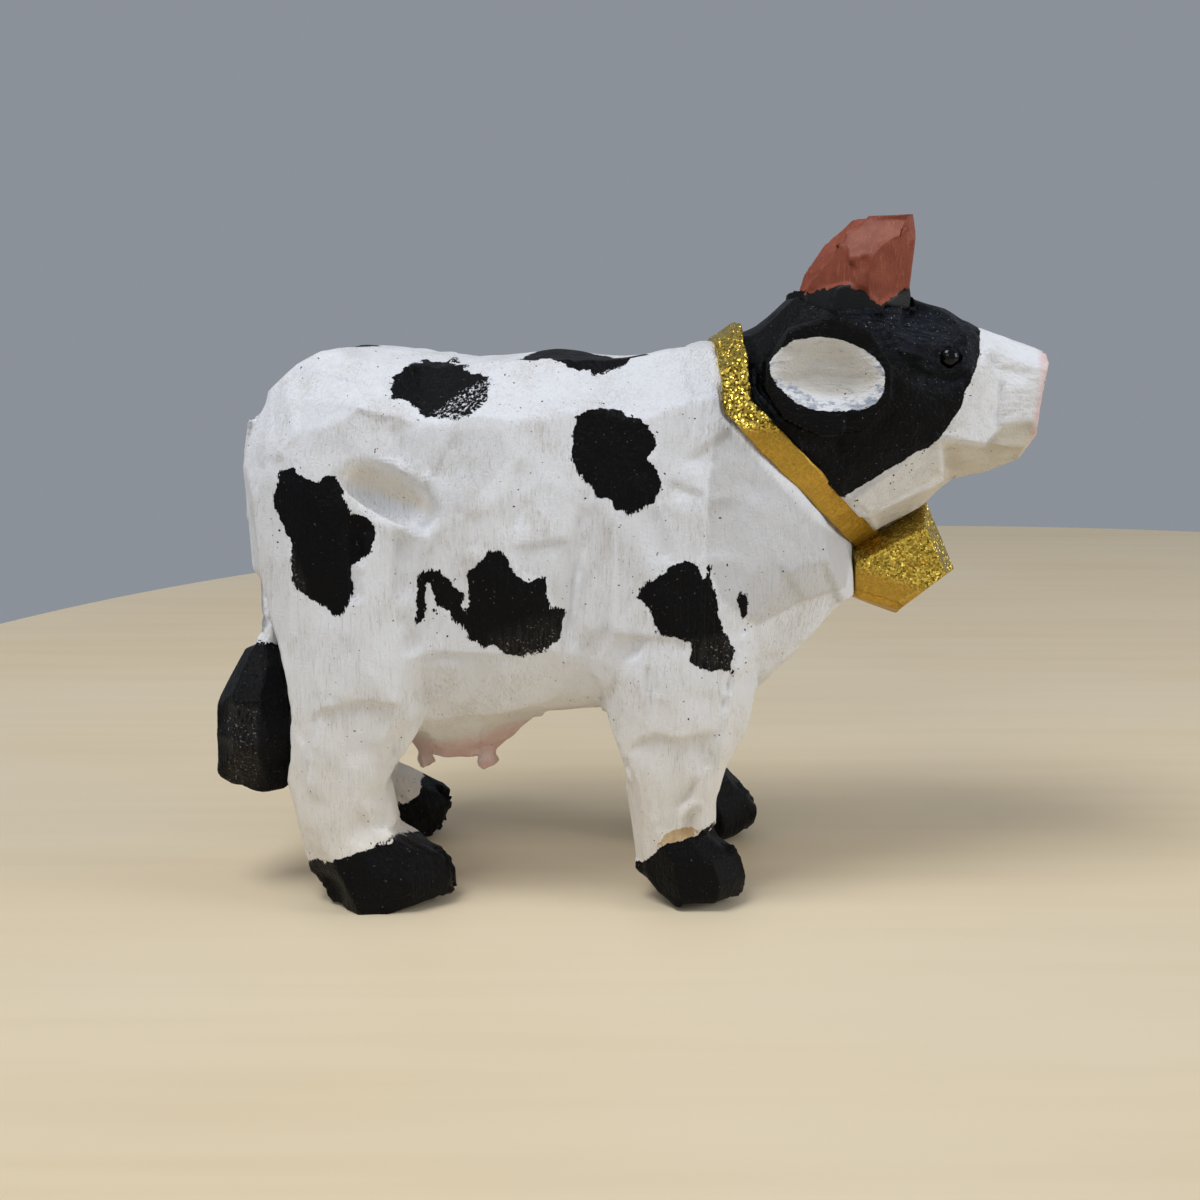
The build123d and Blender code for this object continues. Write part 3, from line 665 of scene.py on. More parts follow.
BARE_STRIP = ((658, 846), (666, 833), (690, 826), (700, 832), (690, 838), (668, 848))
# Where the black is brushed dry: an outline, its soft edge in pixels and how dry it is.
DRY_BRUSHED = (
    (((424, 412), (462, 384), (500, 366), (512, 440), (424, 442)), -6, 9, 0.95),
    (((425, 565), (468, 565), (468, 620), (425, 620)), -3, 3, 0.35),
)
# Where the black is rubbed grey: an outline and its soft edge in pixels.
RUBBED = (
    (((282, 540), (296, 552), (312, 606), (290, 606)), -2, 3),
    (((680, 640), (740, 630), (740, 680), (680, 680)), -2, 6),
    (((480, 630), (580, 600), (580, 670), (480, 670)), -2, 20),
)
# The hollow of the gouge, as its painted shade and as its bare form see it.
GOUGE_SHADE, GOUGE_FORM = ellipse((388, 492), 100, 40, 26), ellipse((386, 498), 116, 66, 28)
UDDER_MIDDLE, UDDER_REACH = np.array((-17.0, 0, 15.0)), np.array((9.0, 8.0, 6.0))
FAR_OUTSIDE = 9.0  # mm taken off the black of the flank that a patch isn't on
NOT_BARE = -5.0


def body_paint(skin):
    """How far inside the black each vertex lies, in millimetres, the other finishes and the painted
    shade.
    """
    co, out = skin.co, skin.normals(6)
    seen, near_share = photo_place(co, NEAR), side_of(co, NEAR)
    black = np.full(len(co), -FAR_OUTSIDE)
    for side, patches in ((NEAR, NEAR_PATCHES), (FAR, FAR_PATCHES)):
        off = (1 - side_of(co, side)) * FAR_OUTSIDE
        for outline in patches:
            black = np.maximum(black, depth_in(co, outline, side) - off)
    for outline in TOP_PATCHES:
        off = (1 - eased(out[:, 2], 0.1, 0.5)) * FAR_OUTSIDE
        black = np.maximum(black, inside_by(co[:, :2], outline) - off)
    hooves = [depth_in(co, HOOF_LINE, side) for side in (NEAR, FAR)]
    black = np.maximum(black, np.where(near_share > 0.5, *hooves))
    dry, rubbed, shade = np.ones(len(co)), np.zeros(len(co)), np.zeros(len(co))
    for outline, low_edge, high_edge, share in DRY_BRUSHED:
        dry -= share * eased(inside_by(seen, outline), low_edge, high_edge) * near_share
    for outline, low_edge, high_edge in RUBBED:
        rubbed = np.maximum(rubbed, eased(inside_by(seen, outline), low_edge, high_edge))
    # Painted shade: the white turns warm and darker low down, on faces turned downward and on the
    # gouge's upper wall.
    low = 0.7 * (1 - eased(co[:, 2] + 6 * out[:, 2], 8.0, 30.0))
    for side in (NEAR, FAR):
        on_side = side_of(co, side)
        gouge = eased(depth_in(co, GOUGE_SHADE, side), -0.2, 1.0)
        low = np.maximum(low, 0.9 * gouge * eased(-out[:, 2], -0.1, 0.25) * on_side)
        # Painted shade on the planes turned from the window.
        for outline, level in SHADED_PLANES:
            turned = level * eased(depth_in(co, outline, side), -0.15, 0.15)
            shade = np.maximum(shade, turned * on_side)
    udder = np.linalg.norm((co - UDDER_MIDDLE) / UDDER_REACH, axis=1)
    skin.keep(
        black=black, dry=dry, low=low, shade=shade, rubbed=rubbed * near_share,
        pink=eased(-udder, -1.15, -0.65) * eased(-out[:, 2], -0.4, 0.4),
        bare=np.where(near_share > 0.5, depth_in(co, BARE_STRIP), NOT_BARE), crease=skin.creases(1),
    )


FACETS = (
    (325, 372), (362, 386), (535, 392), (600, 380), (655, 380), (696, 392), (300, 428), (345, 436),
    (386, 446), (425, 446), (455, 470), (492, 462), (548, 450), (612, 440), (690, 438), (262, 430),
    (275, 520), (320, 540), (372, 572), (410, 582), (448, 540), (490, 520), (542, 512), (597, 572),
    (640, 540), (690, 520), (722, 498), (748, 535), (786, 545), (825, 572), (300, 655), (352, 655),
    (446, 606), (486, 606), (540, 602), (588, 625), (645, 600), (694, 595), (745, 600), (792, 625),
    (330, 745), (382, 745), (432, 692), (474, 690), (522, 690), (640, 690), (690, 695), (742, 655),
    (785, 652), (822, 612), (655, 785), (690, 785), (322, 805), (372, 800),
)
# Stop cuts of the knife: line, width in mm, depth in mm.
CUTS = (
    (((325, 400), (355, 408), (380, 417), (416, 416)), 4.0, 0.35),
    (((426, 483), (452, 433)), 3.0, 0.35),
    (((408, 471), (385, 427)), 3.0, 0.30),
    (((393, 604), (395, 527)), 3.4, 0.45),
    (((423, 653), (426, 533)), 3.4, 0.30),
    (((467, 556), (468, 510)), 3.0, 0.35),
    (((510, 536), (514, 459)), 3.0, 0.35),
    (((510, 548), (573, 539)), 5.0, 0.35),
    (((562, 647), (568, 608), (573, 536), (585, 489)), 4.0, 0.45),
    (((614, 519), (615, 560), (613, 636), (596, 664)), 4.0, 0.45),
    (((423, 652), (449, 655), (502, 658), (560, 645)), 5.0, 0.45),
    (((396, 604), (414, 633), (414, 662), (396, 706)), 3.0, 0.22),
    (((306, 722), (323, 712), (352, 702), (396, 706), (412, 712)), 4.5, 0.4),
    (((600, 662), (613, 638), (679, 638), (692, 650)), 4.0, 0.35),
    (((624, 752), (640, 741), (655, 735), (678, 742), (700, 736), (722, 730)), 4.5, 0.45),
    (((672, 828), (674, 743)), 2.5, 0.2),
    (((360, 850), (362, 716)), 2.5, 0.2),
    (((651, 497), (671, 547), (673, 562)), 3.0, 0.35),
    (((707, 562), (708, 497)), 5.0, 0.5),
    (((668, 480), (707, 497)), 3.0, 0.35),
    (((682, 463), (718, 438), (734, 427)), 3.0, 0.35),
    (((734, 469), (757, 486), (762, 500)), 2.5, 0.2),
    (((771, 552), (798, 591), (804, 602)), 3.0, 0.25),
    (((757, 626), (801, 602), (846, 588)), 4.5, 0.4),
    (((734, 690), (751, 663), (807, 641), (846, 600)), 3.0, 0.3),
    (((261, 456), (285, 459)), 3.0, 0.25),
)


# Painted shade: planes turned a little from the window, and how much darker they are painted.
SHADED_PLANES = (
    (((708, 497), (707, 562), (722, 600), (757, 626), (801, 602), (846, 588), (852, 545),
      (813, 520), (768, 472), (735, 434), (719, 420), (712, 455)), 0.9),
    (((757, 626), (801, 602), (850, 586), (850, 610), (790, 690), (740, 720), (735, 690)), 0.10),
    (((452, 433), (426, 483), (430, 520), (467, 510), (510, 459), (500, 430), (470, 428)), 0.35),
    (((300, 400), (355, 408), (416, 418), (452, 433), (426, 470), (345, 452), (300, 430)), 0.30),
    (((511, 545), (572, 539), (567, 640), (548, 580), (520, 570)), 0.40),
    (((616, 512), (700, 500), (703, 556), (672, 562), (640, 596), (617, 620)), 0.28),
    (((394, 527), (423, 533), (423, 640), (412, 650), (394, 600)), 0.25),
    (((585, 490), (613, 515), (613, 636), (585, 650), (576, 560)), 0.18),
    (((262, 430), (285, 459), (290, 640), (262, 640), (250, 520), (240, 450)), 0.30),
    (((313, 711), (352, 702), (389, 711), (400, 760), (380, 840), (320, 850), (300, 760)), 0.20),
    (((624, 752), (655, 735), (700, 736), (722, 730), (714, 826), (640, 860), (632, 800)), 0.15),
)
COLLAR_ZONE = (
    (700, 325), (707, 343), (721, 402), (735, 438), (768, 478), (813, 525), (846, 550), (870, 548),
    (832, 509), (801, 485), (778, 461), (752, 426), (745, 398), (733, 325),
)


def off_collar(co):
    """0 beside the collar, where the wood keeps its even edge, and 1 away from it."""
    return eased(-own_depth_in(co, COLLAR_ZONE), 0.6, 2.6)


# The back of the hind leg and the top of the rump, each with the waste on its left.
LEG_TRIM = ((306, 858), (289, 808), (287, 788), (291, 752), (291, 712), (286, 678), (279, 646),
            (268, 606), (260, 572))
RUMP_TRIM = ((238, 441), (247, 424), (262, 397), (282, 378), (297, 364), (322, 351), (345, 347),
             (430, 346), (500, 349), (560, 352), (620, 351), (690, 347))
# Places rubbed smooth after the cutting, each with its reach in mm.
CALMED = (((408, 650), 5.0), ((357, 780), 6.0), ((285, 630), 4.0), ((272, 660), 4.0))
# Places pared away under the spurs: an outline and a depth in mm.
PARED = (
    (((318, 876), (333, 878), (340, 892), (341, 906), (328, 904), (320, 890)), 0.7),
    (((636, 878), (645, 880), (651, 893), (652, 908), (640, 900)), 0.7),
)
CHEST_EDGE = 24.3
RUMP_MIDDLE = np.array((-33.5, 58.5))  # X and Z of the place that is filled up
GOUGE_START, GOUGE_END = np.array((334.0, 470.0)), np.array((435.0, 525.0))
GOUGE_HALF, GOUGE_DEPTH = 2.7, 1.4


def scooped(skin, side):
    """The gouge's long hollow on the flank: a steep lower wall and a broad upper one."""
    seen = photo_place(skin.co, side)
    size = np.linalg.norm(GOUGE_END - GOUGE_START)
    run, length = (GOUGE_END - GOUGE_START) / size, size / PIXELS_PER_MM
    along = (seen - GOUGE_START) @ run / PIXELS_PER_MM
    down = (seen - GOUGE_START) @ np.array((-run[1], run[0])) / PIXELS_PER_MM
    half = GOUGE_HALF * np.sqrt(np.clip(1 - ((along / length - 0.56) / 0.60) ** 2, 0, 1))
    upper = eased(down, -half - 0.4, 1.0)
    lower = 1 - eased(down, 1.1, np.maximum(half * 0.72, 1.15))
    ends = eased(along, 0.0, 3.5) * (1 - eased(along, length - 1.0, length + 0.2))
    skin.push(-GOUGE_DEPTH * upper * lower * ends * side_of(skin.co, side), 8)


def make_body():
    rng = np.random.default_rng(11)
    skin = Skin("body", 0.405)
    skin.smooth(5)
    co = skin.co
    skin.push(ripple(rng, co, 16.0) * 0.22)
    rump = np.linalg.norm(co[:, [0, 2]] - RUMP_MIDDLE, axis=1)
    skin.push(1.5 * (1 - eased(rump, 1.5, 10.0)) * (1 - eased(abs(co[:, 1]), 5.0, 12.0)), 6)
    height = co[:, 2]
    low = 1 - eased(height, 19.0, 26.0)
    spacing = 7.0 - 1.8 * low - 1.2 * (1 - eased(height, 8.0, 11.0))
    hand = skin.found(FACETS)
    hand += skin.found([(x + 14 * math.sin(y), y + 10 * math.cos(x)) for x, y in FACETS], FAR)
    share = off_collar(co)
    for side in (NEAR, FAR):
        share *= 1 - eased(depth_in(co, GOUGE_FORM, side), -0.8, 0.6) * side_of(co, side)
    skin.facets(rng, spacing, hand, swell=0.32 - 0.17 * low, stretch=1.6, share=share)
    for line, width, depth in CUTS:
        skin.cut(line, width, depth)
        skin.cut([(x + 9, y - 6) for x, y in line], width, depth * 0.8, FAR)
    for side in (NEAR, FAR):
        for place, reach in CALMED:
            away = np.linalg.norm(skin.co - skin.found([place], side)[0], axis=1)
            skin.smooth(10, 1 - eased(away, reach * 0.4, reach))
        scooped(skin, side)
        skin.trim(LEG_TRIM, side, 3.3)
        skin.trim(RUMP_TRIM, side)
        for outline, depth in PARED:
            share = eased(depth_in(skin.co, outline, side), -0.9, 1.1)
            skin.push(-depth * share * side_of(skin.co, side), 6)
    height = skin.co[:, 2]
    chest = eased(height, 31.0, 33.0) * (1 - eased(height, 41.0, 42.5))
    skin.co[:, 0] -= np.maximum(skin.co[:, 0] - CHEST_EDGE, 0) * chest
    skin.push(ripple(rng, skin.co, 3.0) * 0.025)
    skin.co[:, 2] *= np.where(skin.co[:, 2] < 0, 0.05, 1)  # the soles stand flat
    body_paint(skin)
    return skin.show("carved_body", white_paint)


# Head

HEAD_BLACK = (
    (978, 290), (981, 355), (967, 388), (962, 409), (941, 438), (844, 498), (818, 494), (804, 486),
    (780, 470), (745, 430), (725, 380), (700, 330), (690, 240), (900, 170), (985, 240),
)
NOSE_PINK = ((1041, 346), (1060, 346), (1060, 450), (1031, 450), (1037, 410), (1042, 380))
HEAD_FACETS = (
    (925, 310), (900, 325), (935, 335), (965, 325), (905, 370), (940, 385), (912, 420), (880, 455),
    (840, 470), (800, 440), (770, 400), (760, 350), (745, 330), (790, 310), (830, 305), (870, 320),
    (965, 355), (968, 375), (995, 352), (1022, 352), (1000, 385), (1030, 385), (985, 430),
    (1015, 430), (965, 455), (900, 475), (870, 500), (860, 515), (925, 460), (1000, 408),
    (1028, 408), (980, 405), (960, 425),
)
# Planes pared on the muzzle and jaw: corners, then how far each stands off the rounded form.
HEAD_FLATS = (
    (((984, 330), (1041, 353), (1036, 369), (987, 345)), (0, 0, 0, 0.2)),
    (((987, 345), (1036, 369), (1034, 388), (1004, 386)), (0.2, 0, 0.1, 0.25)),
    (((985, 348), (1004, 386), (998, 429), (985, 445), (945, 438), (962, 409),
      (975, 380)), (0, 0.1, 0.2)),
    (((1004, 386), (1034, 388), (1030, 421), (1000, 427)), (0.1, 0.1, 0.2, 0.2)),
    (((1000, 427), (1030, 421), (1035, 436), (1022, 449), (987, 447)), (-0.3, -0.3)),
    (((945, 441), (985, 447), (1022, 450), (1012, 463), (983, 471), (948, 478)), (-0.3, -0.2)),
    (((848, 497), (940, 442), (943, 472), (868, 512)), (0.1, 0.1, 0.2, 0.2)),
    (((905, 300), (962, 322), (955, 345), (925, 345), (900, 325)), ()),
    (((925, 345), (955, 345), (968, 366), (962, 390), (925, 380)), ()),
    (((768, 452), (800, 449), (848, 470), (842, 497), (806, 484)), ()),
)
# Where the white is painted warm and dark as shade under the chin and jaw, and how dark it is.
HEAD_SHADE = (
    (((941, 441), (985, 447), (1001, 428), (1031, 422), (1050, 436), (1030, 480), (983, 490),
      (944, 482)), 1.0),
    (((846, 524), (880, 512), (930, 488), (950, 476), (950, 500), (870, 545)), 0.9),
    (((840, 498), (940, 436), (943, 474), (868, 514)), 0.45),
)
# What the knife takes off the muzzle and chin, with the waste on the line's left.
HEAD_TRIM = ((980, 328), (1046, 352), (1049, 362), (1041, 402), (1036, 435), (1019, 458),
             (983, 472), (948, 479))
HORN_FLATS = (
    (((863, 288), (864, 272), (868, 256), (880, 243), (895, 237), (914, 236), (909, 287),
      (881, 304)),
     (0, 0, 0.3, 0.4, 0.4, 0.3)),
    (((870, 217), (912, 215), (914, 236), (895, 237), (880, 243), (868, 256), (848, 262),
      (846, 240)),
     (0, 0, 0.3, 0.4, 0.4, 0.3)),
    (((801, 292), (821, 268), (846, 240), (848, 262), (864, 272), (863, 288),
      (845, 284)), (0, 0.1, 0.2)),
)
# Stop cuts on the head: line, width in mm, depth in mm.
HEAD_CUTS = (
    (((881, 306), (886, 330), (900, 352), (930, 362)), 3.0, 0.5),
    (((905, 360), (925, 372), (950, 376), (972, 366)), 2.5, 0.45),
    (((970, 318), (958, 330), (955, 345)), 2.0, 0.35),
    (((943, 474), (943, 447)), 2.4, 0.35),
    (((941, 438), (985, 446), (1001, 427), (1030, 421)), 2.0, 0.45),
    (((985, 350), (1000, 366), (1040, 372)), 2.2, 0.25),
    (((1003, 372), (1006, 400), (1000, 427)), 2.0, 0.2),
    (((752, 418), (780, 455), (806, 482)), 3.0, 0.5),
    (((765, 440), (752, 400), (748, 350)), 3.0, 0.4),
    (((845, 505), (900, 470), (941, 440)), 2.0, 0.15),
    (((852, 520), (880, 512), (930, 488)), 2.0, 0.3),
)


HORN_FOOT_MIDDLE = (23.0, 6.5, 64.5)
EYE_HELD, EYE_SUNK = (32.9, 8.8, 58.3), (32.9, 9.6, 58.3)
# Swellings over the eye and on the cheek: pixel, width and height in mm.
BROWS = (((948, 338), 3.0, 0.5), ((966, 372), 1.8, 0.4), ((925, 345), 2.2, 0.3))
# Where the black of the brow is painted with a bluish sheen.
BROW_SHEEN = ((838, 300), (900, 300), (975, 318), (972, 350), (935, 340), (905, 360), (868, 345))


def mirrored(place, side):
    """A place of the left flank, in millimetres, on either flank."""
    return np.array(place) * (1, side, 1)


def make_head():
    rng = np.random.default_rng(5)
    skin = Skin("head", 0.28)
    skin.smooth(4)
    for side in (NEAR, FAR):
        horn = np.linalg.norm(skin.co - mirrored(HORN_FOOT_MIDDLE, side), axis=1)
        skin.smooth(14, 1 - eased(horn, 5.0, 8.0))
        seen = photo_place(skin.co, side)
        on_side = side_of(skin.co, side)
        for middle, wide, high in BROWS:
            gap = np.sqrt(((seen - np.array(middle)) ** 2).sum(1)) / PIXELS_PER_MM
            skin.push(high * (1 - eased(gap, 0, wide)) * on_side)
    hand = skin.found(HEAD_FACETS) + skin.found([(x + 5, y + 4) for x, y in HEAD_FACETS], FAR)
    skin.facets(rng, 4.2, hand, swell=0.10, limit=0.5, share=off_collar(skin.co))
    before = skin.co.copy()
    for side in (NEAR, FAR):
        for corners, lift in HEAD_FLATS:
            skin.flatten(corners, side, lift)
    for side in (NEAR, FAR):
        skin.trim(HEAD_TRIM, side, 3.0)
    held = off_collar(skin.co)
    for side in (NEAR, FAR):
        eye = np.linalg.norm(before - mirrored(EYE_HELD, side), axis=1)
        held = np.minimum(held, eased(eye, 1.7, 3.0))
    skin.co = before + (skin.co - before) * held[:, None]
    for side in (NEAR, FAR):
        eye = np.linalg.norm(skin.co - mirrored(EYE_SUNK, side), axis=1)
        skin.push(-0.25 * (1 - eased(eye, 1.2, 2.8)), 6)
        for line, width, depth in HEAD_CUTS:
            skin.cut(line, width, depth, side, edge=0.2)
    skin.push(ripple(rng, skin.co, 2.2) * 0.012)
    brow = eased(inside_by(photo_place(skin.co), BROW_SHEEN), -8, 10)
    # Painted shade under the chin and jaw.
    low = np.zeros(len(brow))
    for outline, level in HEAD_SHADE:
        low = np.maximum(low, level * eased(own_depth_in(skin.co, outline), -0.25, 0.25))
    skin.keep(
        black=own_depth_in(skin.co, HEAD_BLACK), dry=1.0, bare=NOT_BARE, low=low,
        crease=skin.creases(2),
        pink=eased(own_depth_in(skin.co, NOSE_PINK), -0.6, 0.4) * 0.9,
        # Painted bluish sheen on the head's black: patches at random, and the brow.
        rubbed=0.35 * eased(ripple(rng, skin.co, 9.0), 0.4, 1.6) + 0.6 * brow,
    )
    skin.show("carved_head", head_paint)


EAR_OVAL = ellipse((828, 375), 118, 72, 12)
EAR_FOLD = ((768, 379), (790, 375), (815, 371), (844, 375), (892, 378))


def make_ear(node, side):
    rng = np.random.default_rng(21 + side)
    skin = Skin(node, 0.24)
    skin.smooth(9)
    skin.facets(rng, 4.2, swell=0.06, limit=0.5)
    skin.cut(EAR_FOLD, 3.2, 0.3, side, edge=0.35)
    oval = depth_in(skin.co, EAR_OVAL, side)
    outward = skin.normals(3)[:, 1] * side
    # Painted light: the faces turned from the outside get a greyer worn black as painted sheen, and
    # the upper half of the white hollow a darker white as painted shade.
    skin.keep(
        black=np.where(outward > 0.2, -oval, 5.0), dry=1.0, bare=NOT_BARE, pink=0.0,
        rubbed=eased(-outward, -0.4, 0.4) * 0.5, crease=skin.creases(2),
        low=eased(oval + 0.04 * (380 - photo_place(skin.co, side)[:, 1]), 0.2, 1.6),
    )
    skin.show(f"carved_{node}", ear_paint)


TAIL_TRIM = ((255, 648), (262, 622), (261, 553), (251, 507), (241, 474), (238, 441), (247, 424),
             (262, 397))
TASSEL_LINE = 642  # pixel's height at which the black of the tassel starts
TASSEL_RUBBED = ((224, 700), (262, 705), (262, 800), (224, 800))


def make_tail():
    rng = np.random.default_rng(31)
    skin = Skin("tail", 0.24)
    skin.smooth(3)
    spacing = np.where(skin.co[:, 2] < 26, 3.8, 4.5)
    skin.facets(rng, spacing, swell=0.10, limit=0.5)
    for side in (NEAR, FAR):
        skin.trim(TAIL_TRIM, side)
    seen = photo_place(skin.co)
    skin.keep(
        black=(seen[:, 1] - TASSEL_LINE) / PIXELS_PER_MM, dry=1.0, bare=NOT_BARE, pink=0.0, low=0.0,
        rubbed=eased(inside_by(seen, TASSEL_RUBBED), 0, 6), crease=skin.creases(2),
    )
    skin.show("carved_tail", white_paint)


# Where the black of the head runs up over the foot of the horn.
HORN_FOOT = ((770, 284), (792, 284), (802, 294), (845, 284), (862, 291), (881, 306), (905, 289),
             (930, 286), (930, 360), (770, 360))
HORN_TRIM = ((842, 225), (868, 216), (913, 214), (916, 236), (909, 292))


def make_horn(node, side):
    rng = np.random.default_rng(41 + side)
    skin = Skin(node, 0.20)
    skin.smooth(3)
    skin.facets(rng, 3.4, swell=0.05, limit=0.4)
    for corners, lift in HORN_FLATS:
        skin.flatten(corners, side, lift)
    skin.trim(HORN_TRIM, side)
    skin.keep(crease=skin.creases(2), black=depth_in(skin.co, HORN_FOOT, side))
    skin.show(f"carved_{node}", brown_paint)


def make_bell():
    rng = np.random.default_rng(51)
    skin = Skin("bell", 0.20)
    skin.smooth(2)
    skin.facets(rng, 4.6, swell=0.03, turning=8.0, limit=0.4)
    seen = photo_place(skin.co)
    smooth = eased(seen[:, 1] - 0.32 * (seen[:, 0] - 850), 560, 572)
    skin.keep(smooth=smooth, crease=skin.creases(2))
    skin.show("carved_bell", gold_paint)


def make_collar():
    rng = np.random.default_rng(61)
    skin = Skin("collar", 0.18)
    skin.smooth(3)
    skin.push(ripple(rng, skin.co, 3.0) * 0.05)
    skin.keep(smooth=1 - eased(skin.co[:, 2], 50.5, 52.0), crease=skin.creases(2))
    skin.show("painted_collar", gold_paint)


def make_eye(node):
    skin = Skin(node, 0.09)
    skin.smooth(30)
    skin.show(f"bead_{node}", bead)


BROWN, BROWN_DEEP, BROWN_PALE = colour(150, 78, 55), colour(130, 61, 41), colour(168, 98, 74)
BROWN_CREASE_SHADE = colour(110, 52, 38)
FLAKE_PALE, FLAKE_DEEP = colour(244, 216, 100), colour(122, 90, 22)
GOLD, GOLD_DEEP, GOLD_CREASE_SHADE = colour(208, 162, 52), colour(182, 136, 42), colour(120, 86, 26)
BEAD, BEAD_PALE = colour(4, 4, 5), colour(8, 8, 8)


def brown():
    f = Finish("horn_paint")
    streak = f.noise(0.35, (1, 1, 8), detail=3.0, rough=0.6)
    worn = f.noise(2.4, detail=3.0, rough=0.6)
    base = f.mix(f.step(worn, 0.3, 0.7), BROWN, BROWN_DEEP)
    base = f.mix(f.step(streak, 0.55, 0.8), base, BROWN_PALE)
    # Painted shade in the creases of the horn.
    base = f.mix(f.step(f.kept("crease"), 0.10, 0.35), base, BROWN_CREASE_SHADE)
    edge = f.total(f.kept("black"), (f.noise(0.7, detail=3.0), 1.0, -0.5))
    base = f.mix(f.step(edge, -0.02, 0.05), base, BLACK)
    normal = f.bump(streak, 0.05)
    normal = f.bump(f.noise(0.2, detail=2.0), 0.035, normal)
    return f.done(base, f.total((worn, 0.2, 0.42)), normal, Specular_IOR_Level=0.35)


def gold():
    f = Finish("gold_paint")
    flake = f.flakes(0.19)
    apart = f.add("ShaderNodeSeparateColor", {0: flake})
    level = f.product(f.kept("smooth"), 0.8)
    glitter = f.math("SUBTRACT", 1.0, level)
    bright = f.mix(apart.outputs[0], FLAKE_PALE, FLAKE_DEEP)
    plain = f.mix(f.noise(0.6, (1, 1, 4), detail=3.0), GOLD, GOLD_DEEP)
    base = f.mix(level, bright, plain)
    # Painted shade in the creases of the gold.
    base = f.mix(f.step(f.kept("crease"), 0.08, 0.35, 0.0, 0.6), base, GOLD_CREASE_SHADE)
    lean = f.vector("SUBTRACT", flake, (0.5, 0.5, 0.5))
    size = f.product(glitter, 1.1)
    lean = f.add("ShaderNodeVectorMath", {0: lean, 3: size}, operation="SCALE").outputs[0]
    facing = f.add("ShaderNodeNewGeometry").outputs["Normal"]
    turned = f.vector("NORMALIZE", f.vector("ADD", facing, lean))
    normal = f.bump(f.noise(0.5, detail=3.0), 0.05, turned)
    metal = f.step(level, 0.0, 0.8, 0.95, 0.55)
    rough = f.total((apart.outputs[1], 0.25, 0.22), (level, 0.15, 0.0))
    return f.done(base, rough, normal, Metallic=metal)


def glossy_bead():
    f = Finish("bead_paint")
    base = f.mix(f.step(f.noise(0.3, detail=2.0), 0.4, 0.7), BEAD, BEAD_PALE)
    rough = f.total((f.noise(0.5), 0.10, 0.06))
    return f.done(base, rough, Specular_IOR_Level=0.2, Coat_Weight=0.12, Coat_Roughness=0.04)


def bare_wood():
    f = Finish("bare_wood")
    streak = f.noise(0.5, (8, 1, 8), detail=3.0)
    return f.done(f.mix(streak, BARE_WOOD, DOWEL_GRAIN), 0.7, f.bump(streak, 0.05))


# The head's painted shade is a warm, darker white and its painted sheen a bluish grey on the black.
head_paint = painted("carved_head_paint", (6, 1, 2), ragged_edge=0.35, low=colour(204, 193, 172),
                     black_wear_and_sheen=colour(44, 50, 62), dirt_and_crease_shade=0.35)
# The ear's painted shade is a grey white.
ear_paint = painted("carved_ear_paint", (5, 1, 1), blue=0.75, ragged_edge=0.4,
                    low=colour(205, 201, 193), dirt_and_crease_shade=0.5)
brown_paint, gold_paint, bead = brown(), gold(), glossy_bead()

make_body()
make_head()
for ending, side in (("right", NEAR), ("left", FAR)):
    make_ear(f"ear_{ending}", side)
make_tail()
for ending, side in (("right", NEAR), ("left", FAR)):
    make_horn(f"horn_{ending}", side)
make_bell()
make_collar()
for ending in ("right", "left"):
    make_eye(f"eye_{ending}")
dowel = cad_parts["neck_dowel"].data
dowel.materials.clear()
dowel.materials.append(bare_wood())

# The stage

TABLE_MIDDLE = (0.085, 0.044)
TABLE_RADIUS = 0.228
TABLE_SIDES = 160
# The softened edge from the top down: how far out from its inner ring, and how high.
TABLE_EDGE = ((0.0, 0.0), (0.0015, -0.0004), (0.0026, -0.0015), (0.003, -0.003), (0.003, -0.018))
TABLE_PALE, TABLE_GRAIN = colour(233, 214, 180), colour(229, 209, 174)
TABLE_CLOUD = colour(236, 225, 200)
ROOM_LIGHT, ROOM_LEVEL = colour(216, 224, 236), 0.38
# Lamps: name, place, what they look at, size and power.
LAMPS = (
    ("window", (-0.16, -0.15, 0.46), (0, 0, 0.03), 0.20, 1.27),
    ("room", (-0.28, -0.70, 0.40), (0, 0, 0.03), 0.40, 0.72),
    ("card", (0.40, -0.10, 0.16), (0.03, 0, 0.04), 0.20, 0.62),
)
SENSOR_WIDTH = 36


def table_ring(radius, height):
    """The corners of one ring of the round table top."""
    turns = (2 * math.pi * i / TABLE_SIDES for i in range(TABLE_SIDES))
    x, y = TABLE_MIDDLE
    return [(x + radius * math.cos(turn), y + radius * math.sin(turn), height) for turn in turns]


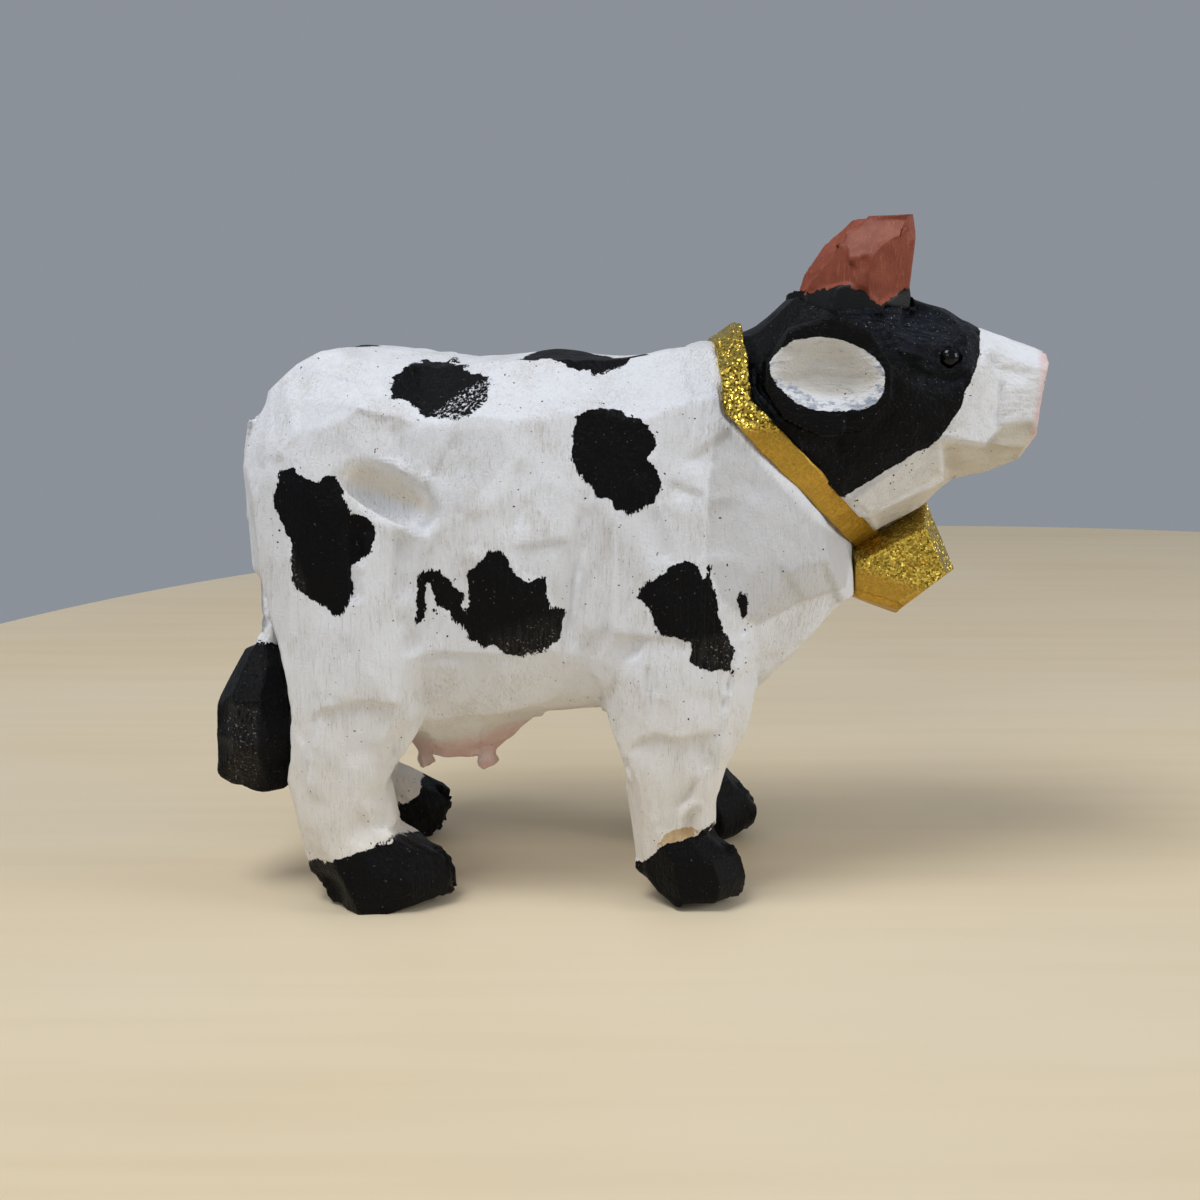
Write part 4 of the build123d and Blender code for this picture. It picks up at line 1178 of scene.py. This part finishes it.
def table():
    """A round table top with a softened edge, of pale wood."""
    inner = TABLE_RADIUS - TABLE_EDGE[-1][0]
    rings = [table_ring(inner + out, height) for out, height in TABLE_EDGE]
    corners = [corner for ring in rings for corner in ring]
    faces = [tuple(range(TABLE_SIDES))]
    for level in range(len(rings) - 1):
        for i in range(TABLE_SIDES):
            near, far = level * TABLE_SIDES, (level + 1) * TABLE_SIDES
            after = (i + 1) % TABLE_SIDES
            faces.append((near + i, far + i, far + after, near + after))
    mesh = bpy.data.meshes.new("floor")
    mesh.from_pydata(corners, [], faces)
    finish = Finish("pale_table")
    grain = finish.noise(5.0, (16, 1, 1), detail=2.0, rough=0.45, warp=0.4)
    cloud = finish.noise(70.0, (2, 1, 1), detail=2.0)
    pale = finish.mix(finish.step(grain, 0.35, 0.75), TABLE_PALE, TABLE_GRAIN)
    pale = finish.mix(finish.step(cloud, 0.35, 0.7, 0.0, 0.5), pale, TABLE_CLOUD)
    mesh.materials.append(finish.done(pale, 0.55))
    return bpy.data.objects.new("floor", mesh)


floor = table()
bpy.context.scene.collection.objects.link(floor)

world = bpy.data.worlds.new("soft_room")
bpy.context.scene.world = world
world.use_nodes = True
background = world.node_tree.nodes["Background"]
background.inputs["Color"].default_value = ROOM_LIGHT
background.inputs["Strength"].default_value = ROOM_LEVEL


def lamp(name, place, aim, size, power):
    """A soft square lamp that looks at a point."""
    data = bpy.data.lights.new(name, "AREA")
    data.shape = "SQUARE"
    data.size = size
    data.energy = power
    made = bpy.data.objects.new(name, data)
    bpy.context.scene.collection.objects.link(made)
    made.location = place
    x, y, z = np.array(aim) - np.array(place)
    made.rotation_euler = (math.acos(-z / math.hypot(x, y, z)), 0, math.atan2(y, x) - math.pi / 2)


for row in LAMPS:
    lamp(*row)

camera_data = bpy.data.cameras.new("camera")
camera_data.sensor_width = SENSOR_WIDTH
camera_data.lens = SENSOR_WIDTH * FOCAL_PIXELS / (2 * MIDDLE_PIXEL)
camera_data.clip_start = 0.01
camera = bpy.data.objects.new("camera", camera_data)
bpy.context.scene.collection.objects.link(camera)
camera.location = tuple(CAMERA_PLACE * MM)
camera.rotation_euler = (math.pi / 2 - CAMERA_PITCH, 0, 0)
bpy.context.scene.camera = camera
bpy.context.scene.view_settings.view_transform = "Standard"
